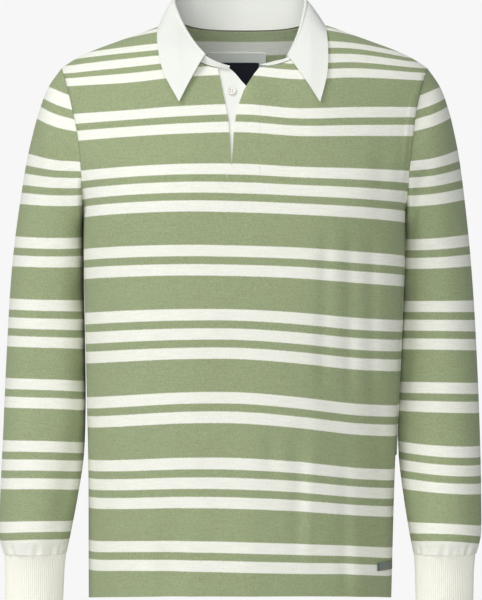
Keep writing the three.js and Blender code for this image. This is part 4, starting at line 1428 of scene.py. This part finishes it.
LEAF_FOLD = np.stack([LEAF["fold_x"], LEAF["fold_y"], LEAF["fold_z"]], axis=-1)
stand_first, stand_last = (np.array(rows, float) for rows in STAND_ENDS)
stand_turns = np.concatenate([stand_first[:, 0], LEAF["turn"], stand_last[:, 0]])
stand_top = along_stations(np.concatenate([stand_first[:, 1:], LEAF_FOLD, stand_last[:, 1:]]))
stand_turn = along_stations(stand_turns[:, None])[:, 0]
stand_length = np.linalg.norm(np.diff(stand_top, axis=0), axis=1).sum()
print("stand length along its top in mm", round(stand_length))


# %% The stand
def make_stand():
    seam = np.concatenate([neck_point(np.array([t]), abs(t) > 90) for t in stand_turn])
    along = unit(np.gradient(seam, axis=0))
    up = stand_top - seam
    up = unit(up - along * (up * along).sum(-1, keepdims=True))
    inward = unit(-seam * (1, 1, 0))
    base = seam + up * STAND_GAP + inward * SEAM_GAP
    outer = np.array([mix(base, stand_top, t) for t in np.linspace(0, 1, 17)])
    normals = grid_normals(outer, outer * (1, 1, 0))
    return grid_shell("collar_stand_cloth", outer, normals, SHIRTING, plain_map(outer), POPLIN)


collar_stand = make_stand()

# %% [markdown]
# ### The leaf
#
# Across its width the leaf starts as a small roll over the stand's top, stands a little off the
# straight line to its free edge, and comes to rest near the cloth. Wherever a point would sink into
# the body, it is moved out to lie on it.

# %% Section and shape of the leaf
ROLL_RADIUS, ROLL_OFF, ROLL_ROWS = 2.25, -0.65, 10
LEAF_CLEARANCE = 1.6
LEAF_SECTION = table("along off", (0.0, 1.6), (0.06, 2.9), (0.3, 3.2), (0.65, 2.2), (1.0, 0.0))


def edge_points():
    x, z = LEAF["edge_x"], LEAF["edge_z"]
    front = np.abs(LEAF["turn"]) > 90
    rows = []
    for i in range(len(x)):
        if z[i] >= ridge_at(x[i]):
            rows.append((x[i], 0.0, z[i]))
            continue
        point = body_point(x[i] - lean_at(z[i]), z[i], front[i])
        rows.append(point + np.array([0, -1 if front[i] else 1, 0]) * LEAF["lift"][i])
    return np.array(rows)


def clear_of_body(row, distance):
    """Moves points away from the body until they are at least a distance clear of it."""
    row = row.copy()
    for front in (True, False):
        x = row[:, 0] - lean_at(row[:, 2])
        side = row[:, 1] < 0 if front else row[:, 1] >= 0
        inside = side & (np.abs(x) < TIP_X) & (row[:, 2] < closing_height(x, front))
        need = reach_at(x, np.minimum(row[:, 2], closing_height(x, front)), front) + distance
        far, need = np.abs(row[inside, 1]), need[inside]
        eased = (far + need + np.sqrt((far - need) ** 2 + 6.0)) / 2
        row[inside, 1] = np.sign(row[inside, 1]) * eased
    return row


def make_leaf():
    fold, edge = along_stations(LEAF_FOLD), along_stations(edge_points())
    away = unit(fold * (1, 1, 0))
    up = np.array([0.0, 0.0, 1.0])
    rows = []
    for angle in np.radians(np.linspace(170, 8, ROLL_ROWS)):
        off, over = ROLL_OFF + ROLL_RADIUS * np.cos(angle), ROLL_RADIUS * np.sin(angle)
        rows.append(fold + away * off + up * over)
    for t in np.linspace(0, 1, 40)[1:]:
        row = mix(fold, edge, t) + away * read(LEAF_SECTION, "along", "off", t)
        rows.append(clear_of_body(row, SHIRTING + LEAF_CLEARANCE))
    outer = np.array(rows)
    roll_centre = np.repeat(fold[None] + away * ROLL_OFF, ROLL_ROWS, axis=0)
    centre = np.concatenate([roll_centre, outer[ROLL_ROWS:] * (0, 0, 1)])
    normals = grid_normals(outer, outer - centre + (0, 0, 0.1))
    return grid_shell("collar_leaf_cloth", outer, normals, SHIRTING, plain_map(outer), POPLIN)


collar_leaf = make_leaf()

# %% [markdown]
# ## Underlap and button
#
# The slit is closed by a white poplin strip behind it. The strip follows the inside of the front
# panel, so it is made from the same form, moved in. The one button that shows is sewn to it: a
# resin disc with a raised rim and four holes. It is turned as a profile, and the holes are cut by a
# Boolean.

# %% The underlap
UNDERLAP = table(
    "z left right deeper",
    (-55.0, -38, -17, 1.4), (-58.0, -36, -13.5, 1.0), (-62.5, -33, -9, 0.6),
    (-66.5, -31.7, -5.8, 0.3), (-70.5, -31, -2.8, 0), (-75.5, -30, 0.6, 0), (-81.7, -29, 5, 0),
    (-92.0, -28, 9, 0), (-112.0, -25, 9, 0), (-134.0, -22, 9, 0), (-156.0, -20, 8, 0),
    (-189.0, -19, 8, 0),
)


def body_patch(rows, columns, heights, front):
    """A grid on the body's outer face between each height's left and right, and its normals."""
    grid = []
    for z in heights:
        x = np.linspace(read(rows, "z", "left", z), read(rows, "z", "right", z), columns + 1)
        grid.append(body_point(x - lean_at(z), z + 0 * x, front))
    grid = np.array(grid)
    return grid, grid_normals(grid, np.array([0, -1.0 if front else 1.0, 0.3]))


def make_underlap():
    heights = np.linspace(UNDERLAP["z"][0], UNDERLAP["z"][-1], 68)
    grid, normals = body_patch(UNDERLAP, 24, heights, True)
    deeper = read(UNDERLAP, "z", "deeper", heights)[:, None, None]
    outer = grid - normals * (KNIT + SEAM_GAP + deeper)
    return grid_shell("underlap_cloth", outer, normals, SHIRTING, plain_map(outer), POPLIN)


underlap = make_underlap()

# %% The button
BUTTON = {"x": -12.4, "z": -87.5, "radius": 5.6, "height": 2.2, "hole": 0.8, "hole_at": 1.5}
BUTTON_PROFILE = (
    (0.0, 0.0), (0.80, 0.0), (0.92, 0.14), (0.99, 0.38), (1.0, 0.62), (0.97, 0.86), (0.90, 0.98),
    (0.82, 0.99), (0.74, 0.90), (0.68, 0.74), (0.60, 0.68), (0.30, 0.66), (0.0, 0.66),
)


BUTTON_SHARP = 40.0
PIN_LOW, PIN_TOP = -1.0, 4.0


def hard_object(name, verts, faces, material):
    mesh = bpy.data.meshes.new(name)
    mesh.from_pydata((np.asarray(verts) * MM).tolist(), [], faces)
    mesh.polygons.foreach_set("use_smooth", np.ones(len(faces), bool))
    mesh.set_sharp_from_angle(angle=math.radians(BUTTON_SHARP))
    mesh.materials.append(material)
    return add_object(name, mesh)


def turned(profile, segments):
    """Points and faces of a profile turned about the Z axis; its ends lie on the axis."""
    angles = ring_angles(segments)
    inner = profile[1:-1]
    verts = [(0, 0, profile[0][1])]
    verts += [(r * math.cos(a), r * math.sin(a), h) for r, h in inner for a in angles]
    verts.append((0, 0, profile[-1][1]))
    faces, last = [], len(verts) - 1
    for j in range(segments):
        k = (j + 1) % segments
        faces.append((0, 1 + k, 1 + j))
        for i in range(len(inner) - 1):
            a, b = 1 + i * segments, 1 + (i + 1) * segments
            faces.append((a + j, a + k, b + k, b + j))
        top = 1 + (len(inner) - 1) * segments
        faces.append((top + j, top + k, last))
    return verts, faces


def seat_of_button():
    """Where the button sits: a point on the underlap and the axes of its plane."""
    x, z, half = BUTTON["x"], BUTTON["z"], 3.0
    size = {"z": np.array([z - half, z + half])}
    size.update(left=np.full(2, x - half), right=np.full(2, x + half))
    grid, normals = body_patch(size, 2, np.linspace(z + half, z - half, 3), True)
    out = normals[1, 1]
    across = unit(np.cross((0, 0, 1.0), out))
    on_strip = grid[1, 1] - out * (KNIT + SEAM_GAP)
    return on_strip + out * SEAM_GAP, across, np.cross(out, across), out


BUTTON_SEAT, BUTTON_ACROSS, BUTTON_UP, BUTTON_OUT = seat_of_button()


def on_button(verts):
    """Points given in the button's own axes, its plane first and its height last."""
    v = np.asarray(verts, float)
    return BUTTON_SEAT + v[:, :1] * BUTTON_ACROSS + v[:, 1:2] * BUTTON_UP + v[:, 2:] * BUTTON_OUT


def button_pins():
    """One object of four pins, where the four holes will be."""
    hole, at = BUTTON["hole"], BUTTON["hole_at"]
    pin = [(0.0, PIN_LOW), (hole, PIN_LOW), (hole, PIN_TOP), (0.0, PIN_TOP)]
    pin_verts, pin_faces = turned(pin, 12)
    verts, faces = [], []
    for i, k in ((-1, -1), (-1, 1), (1, -1), (1, 1)):
        shift = len(verts)
        verts += [(x + i * at, y + k * at, z) for x, y, z in pin_verts]
        faces += [tuple(v + shift for v in face) for face in pin_faces]
    return hard_object("pins", on_button(verts), faces, BUTTON_FACE)


def make_button():
    radius, height = BUTTON["radius"], BUTTON["height"]
    profile = [(r * radius, h * height) for r, h in BUTTON_PROFILE]
    verts, faces = turned(profile, 48)
    made = hard_object("resin_button", on_button(verts), faces, BUTTON_FACE)
    pins = button_pins()
    cut = made.modifiers.new("holes", "BOOLEAN")
    cut.operation, cut.object, cut.solver = "DIFFERENCE", pins, "EXACT"
    pierced = made.evaluated_get(bpy.context.evaluated_depsgraph_get())
    mesh = bpy.data.meshes.new_from_object(pierced)
    made.modifiers.remove(cut)
    made.data = mesh
    mesh.set_sharp_from_angle(angle=math.radians(BUTTON_SHARP))
    bpy.data.objects.remove(pins)
    print("resin_button", len(mesh.polygons), "faces")
    return made


button = make_button()

# %% [markdown]
# ## Patch and label inside the neck
#
# Inside the back neck a pale woven patch protects the knit, and a small bare navy label is sewn on
# it. Both lie on the inner face of the back panel.

# %% The patch and the label
NECK_PATCH = {"left": -45.0, "right": 31.5, "top": -24.6, "bottom": -86.0, "corner": 3.5}
NECK_LABEL = {"left": -32.0, "right": 22.5, "top": -36.8, "bottom": -78.0, "corner": 0.5}


def rounded_rows(size, count):
    """Left and right of a rectangle with rounded corners, at each height."""
    z = np.linspace(size["top"], size["bottom"], count)
    from_end = np.minimum(size["top"] - z, z - size["bottom"])
    inset = size["corner"] - np.sqrt(
        np.maximum(size["corner"] ** 2 - np.maximum(size["corner"] - from_end, 0) ** 2, 0)
    )
    return {"z": z, "left": size["left"] + inset, "right": size["right"] - inset}


def laid_inside_back(name, size, depth, material):
    rows = rounded_rows(size, 60)
    grid, normals = body_patch(rows, 60, rows["z"], False)
    outer = grid - normals * depth
    return grid_shell(name, outer, normals, TAPE, plain_map(outer), material)


patch = laid_inside_back("neck_patch_cloth", NECK_PATCH, KNIT + SEAM_GAP, PATCH_TAPE)
label = laid_inside_back("bare_label", NECK_LABEL, KNIT + TAPE + 2 * SEAM_GAP, LABEL_NAVY)

# %% [markdown]
# ## Tab near the hem
#
# A short grey tape is folded in two and sewn flat near the right side. A folded ribbon is a path
# seen from its edge, here extruded down the cloth: out along the body, round the fold, and back.

# %% The folded tab
HEM_TAB = {"left": 167.5, "top": -671.5, "bottom": -681.5}
TAB_WALL = 0.45
TAB_PATH = (
    (0.3, 0.9), (6.0, 0.75), (13.0, 0.7), (19.0, 0.75), (19.75, 1.0), (19.95, 1.35),
    (19.6, 1.75), (18.8, 1.95), (13.0, 2.0), (6.0, 2.1), (2.4, 2.35), (1.1, 2.9),
)


def make_tab():
    path = np.array(TAB_PATH)
    steps = np.linspace(0, len(path) - 1, 56)
    path = np.stack([np.interp(steps, np.arange(len(path)), path[:, k]) for k in (0, 1)], axis=-1)
    heights = np.linspace(HEM_TAB["top"], HEM_TAB["bottom"], 16)
    grid = []
    x = HEM_TAB["left"] + path[:, 0]
    for z in heights:
        grid.append(body_point(x - lean_at(z), z + 0 * x, True))
    grid = np.array(grid)
    near_fold, loose_end = grid[0, 25], grid[0, -1]
    side = unit(np.cross(loose_end - near_fold, (0, 0, 1.0)))
    side = side * -np.sign(side[1])
    outer = grid + side * path[None, :, 1:]
    # The tape turns over, so no one side can serve as a hint: a hint of 0 leaves its normals alone.
    normals = grid_normals(outer, np.zeros(3))
    return grid_shell("grey_tab", outer, normals, TAB_WALL, plain_map(outer), TAB_GREY)


tab = make_tab()

# %% [markdown]
# ## Stitches
#
# Sewing is a short thread repeated along a line. One Geometry Nodes tree makes them all: it turns a
# line of edges into a curve, cuts it into equal steps, and sets a small thread on each step, turned
# along the line. The thread is a low ball stretched to length, because there are many.

# %% Tree and helper for stitches
def make_stitch_tree():
    tree, given, made = geometry_tree(
        "stitches",
        [
            ("Step", "NodeSocketFloat", 0.0028),
            ("Length", "NodeSocketFloat", 0.002),
            ("Thickness", "NodeSocketFloat", 0.00035),
            ("Material", "NodeSocketMaterial", None),
        ],
    )
    curve = add_node(tree, "GeometryNodeMeshToCurve")
    tree.links.new(given.outputs["Mesh"], curve.inputs[0])
    resample = add_node(tree, "GeometryNodeResampleCurve", mode="LENGTH")
    tree.links.new(curve.outputs[0], resample.inputs["Curve"])
    tree.links.new(given.outputs["Step"], resample.inputs["Length"])
    ball = add_node(tree, "GeometryNodeMeshUVSphere")
    ball.inputs["Segments"].default_value = 6
    ball.inputs["Rings"].default_value = 4
    ball.inputs["Radius"].default_value = 0.5
    size = add_node(tree, "ShaderNodeCombineXYZ")
    tree.links.new(given.outputs["Thickness"], size.inputs[0])
    tree.links.new(given.outputs["Thickness"], size.inputs[1])
    tree.links.new(given.outputs["Length"], size.inputs[2])
    turn = add_node(tree, "FunctionNodeAlignRotationToVector", axis="Z")
    tree.links.new(add_node(tree, "GeometryNodeInputTangent").outputs[0], turn.inputs["Vector"])
    place = add_node(tree, "GeometryNodeInstanceOnPoints")
    tree.links.new(resample.outputs[0], place.inputs["Points"])
    tree.links.new(ball.outputs[0], place.inputs["Instance"])
    tree.links.new(turn.outputs[0], place.inputs["Rotation"])
    tree.links.new(size.outputs[0], place.inputs["Scale"])
    finish_tree(tree, given, made, place.outputs[0])
    return tree


STITCH_TREE = make_stitch_tree()


def stitch_lines(name, lines, material, step=2.8, length=2.1, thickness=0.4):
    """Stitches along lines of points in millimetres."""
    verts, edges = [], []
    for line in lines:
        edges += [(len(verts) + i, len(verts) + i + 1) for i in range(len(line) - 1)]
        verts += [tuple(v * MM for v in p) for p in line]
    mesh = bpy.data.meshes.new(name)
    mesh.from_pydata(verts, edges, [])
    mesh.materials.append(material)
    made = add_object(name, mesh)
    sizes = {"Step": step * MM, "Length": length * MM, "Thickness": thickness * MM}
    grow(made, STITCH_TREE, **sizes, Material=material)
    made.data.polygons.foreach_set("use_smooth", np.ones(len(made.data.polygons), bool))
    print(name, len(made.data.polygons), "faces")
    return made


# %% Sewing on the overlap, the patch, the label and the button
def on_front(line, sunk):
    """Points on the front panel's face, for (x, z) places."""
    x, z = np.array(line, float).T
    return body_point(x - lean_at(z), z, True) + (0, sunk, 0)


def straight(a, b, count=24):
    return [mix(np.array(a, float), np.array(b, float), t) for t in np.linspace(0, 1, count)]


OVERLAP_LINE = on_front(straight((22.8, -72.0), (22.0, -193.0), 60), 0.05)
OVERLAP_FOOT = on_front(straight((22.0, -193.3), (-17.6, -193.3)), 0.05)
BAR_TACK = on_front(straight((-17.6, -190.6), (-17.6, -196.0), 8), -0.1)
overlap_sewing = stitch_lines("overlap_sewing", [OVERLAP_LINE, OVERLAP_FOOT], THREAD_GREEN)
bar_tack = stitch_lines("bar_tack", [BAR_TACK], THREAD_WHITE, step=0.5, length=2.6, thickness=0.5)


def round_inside(size, depth, inset):
    """A closed line just inside the edge of a laid piece."""
    rows = rounded_rows({**size, "corner": max(size["corner"] - inset, 0.5)}, 40)
    left, right = rows["left"] + inset, rows["right"] - inset
    scale = (size["top"] - size["bottom"] - 2 * inset) / (size["top"] - size["bottom"])
    z = size["top"] - inset - (size["top"] - rows["z"]) * scale
    x = np.concatenate([left, right[::-1], left[:1]])
    z = np.concatenate([z, z[::-1], z[:1]])
    return body_point(x - lean_at(z), z, False) - (0, depth, 0)


PATCH_EDGE = round_inside(NECK_PATCH, KNIT + TAPE + SEAM_GAP, 2.0)
LABEL_EDGE = round_inside(NECK_LABEL, KNIT + 2 * TAPE + 2 * SEAM_GAP, 1.4)
patch_sewing = stitch_lines("patch_sewing", [PATCH_EDGE], THREAD_WHITE)
label_sewing = stitch_lines("label_sewing", [LABEL_EDGE], LABEL_NAVY)
AT, BAR_ENDS, BAR_TOP = BUTTON["hole_at"], 1.5, 1.75
button_bars = [
    on_button([(s * AT, -AT, BAR_ENDS), (s * AT, 0, BAR_TOP), (s * AT, AT, BAR_ENDS)])
    for s in (-1, 1)
]
button_sewing = stitch_lines(
    "button_sewing", button_bars, THREAD_WHITE, step=0.5, length=0.9, thickness=0.55
)

# %% [markdown]
# ## What each piece stands for
#
# Every piece rides on the one body and replaces the solid it stands for, and its row in the table
# lists the finish slot it takes. The area of each cloth piece, about the size of the piece that
# would be cut or knitted flat, is printed.

# %% Riding, replacing and finish slots
PIECES = (
    (front_panel, "front", "knit"),
    (back_panel, "back", "knit"),
    (sleeves[-1], "sleeve_left", "knit"),
    (sleeves[1], "sleeve_right", "knit"),
    (cuffs[-1], "cuff_left", "rib"),
    (cuffs[1], "cuff_right", "rib"),
    (collar_stand, "collar_stand", "shirting"),
    (collar_leaf, "collar_leaf", "shirting"),
    (underlap, "placket_underlap", "shirting"),
    (button, "neck_button", "button"),
    (patch, "neck_patch", "patch"),
    (label, "neck_label", "label"),
    (tab, "hem_tab", "tab"),
    (overlap_sewing, None, "knit"),
    (bar_tack, None, "shirting"),
    (patch_sewing, None, "patch"),
    (label_sewing, None, "label"),
    (button_sewing, None, "shirting"),
)
for piece, node, slot in PIECES:
    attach(piece, "root")
    if node:
        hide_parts(node)


# %% Areas of the cloth pieces
def cloth_area(piece):
    """Half the surface of a closed shell, in square metres."""
    return sum(p.area for p in piece.data.polygons) / 2


for piece, node, slot in PIECES[:13]:
    print(piece.name, "area", round(cloth_area(piece), 5), "m2")

# %% [markdown]
# ## Floor, light and camera
#
# The sweater hangs as its wearer would stand, so the floor is well below it. A large soft key light
# stands high at the front left and gives the cloth its form. A weaker one beside the camera reaches
# into the neck, one above lights the shoulders, and a pale world fills the shadows. A single lamp
# would be simpler, but would leave the inside of the neck too dark. The camera looks level, from
# far enough away that the near and far sides keep their sizes.

# %% Floor
FLOOR_Z, FLOOR_RADIUS, FLOOR_CORNERS = -1.52, 4.5, 64
FLOOR_GREY = (0.90, 0.90, 0.90, 1.0)


def make_floor():
    mesh = bpy.data.meshes.new("floor")
    ring = [(FLOOR_RADIUS * math.cos(a), FLOOR_RADIUS * math.sin(a), FLOOR_Z)
            for a in ring_angles(FLOOR_CORNERS)]
    mesh.from_pydata(ring, [], [tuple(range(FLOOR_CORNERS))])
    floor = add_object("floor", mesh)
    material, tree, shader = new_material("pale_floor", 0.9)
    cloud = place_group(tree, MOTTLE, Vector=object_vector(tree), Cloud_Scale=2.0, Grain_Scale=40.0)
    tone = math_node(tree, "MULTIPLY_ADD", cloud.outputs["Cloud"], 0.02, 0.99)
    tree.links.new(toned(tree, FLOOR_GREY, tone), shader.inputs["Base Color"])
    mesh.materials.append(material)
    return floor


floor = make_floor()

# %% The world
FILL_COLOUR, FILL_STRENGTH = (0.92, 1.0, 1.0, 1.0), 0.24
BACKDROP_WHITE, BACKDROP_STRENGTH = (1.0, 1.0, 1.0, 1.0), 0.93


def make_world():
    """A pale room: one colour and strength light the cloth, and the camera sees another."""
    world = bpy.data.worlds.new("pale_room")
    bpy.context.scene.world = world
    world.use_nodes = True
    tree = world.node_tree
    light = tree.nodes["Background"]
    light.inputs["Color"].default_value = FILL_COLOUR
    light.inputs["Strength"].default_value = FILL_STRENGTH
    backdrop = add_node(tree, "ShaderNodeBackground")
    backdrop.inputs["Color"].default_value = BACKDROP_WHITE
    backdrop.inputs["Strength"].default_value = BACKDROP_STRENGTH
    choose = add_node(tree, "ShaderNodeMixShader")
    tree.links.new(add_node(tree, "ShaderNodeLightPath").outputs["Is Camera Ray"], choose.inputs[0])
    tree.links.new(light.outputs[0], choose.inputs[1])
    tree.links.new(backdrop.outputs[0], choose.inputs[2])
    tree.links.new(choose.outputs[0], tree.nodes["World Output"].inputs[0])


make_world()

# %% The lights
LIGHT_DISTANCE = 4.0
CHEST = np.array([0, 0, -0.35])
LIGHTS = (
    ("key_light", 52, 41, 2.0, 80.0),
    ("front_fill", 2, 3, 2.4, 56.0),
    ("top_fill", -24, 68, 2.6, 28.0),
)


def soft_light(name, azimuth, elevation, size, power):
    """A square light aimed at the chest. Azimuth is degrees to the left of the front."""
    a, e = math.radians(azimuth), math.radians(elevation)
    way = np.array([-math.sin(a) * math.cos(e), -math.cos(a) * math.cos(e), math.sin(e)])
    lamp = bpy.data.lights.new(name, "AREA")
    lamp.shape, lamp.size, lamp.energy = "SQUARE", size, power
    made = add_object(name, lamp)
    made.location = (CHEST + LIGHT_DISTANCE * way).tolist()
    made.rotation_euler = (math.pi / 2 - e, 0, -a)


for light in LIGHTS:
    soft_light(*light)

# %% Camera
FRAME_HEIGHT, SENSOR = 0.7578, 36.0
CAMERA_DISTANCE, CAMERA_X, CAMERA_Z = 3.6, -0.0009, -0.3448
camera_data = bpy.data.cameras.new("camera")
camera_data.sensor_fit = "AUTO"
camera_data.sensor_width = SENSOR
camera_data.lens = SENSOR * CAMERA_DISTANCE / FRAME_HEIGHT
camera = add_object("camera", camera_data)
camera.location = (CAMERA_X, -CAMERA_DISTANCE, CAMERA_Z)
camera.rotation_euler = (math.pi / 2, 0, 0)
bpy.context.scene.camera = camera
bpy.context.scene.view_settings.view_transform = "Standard"
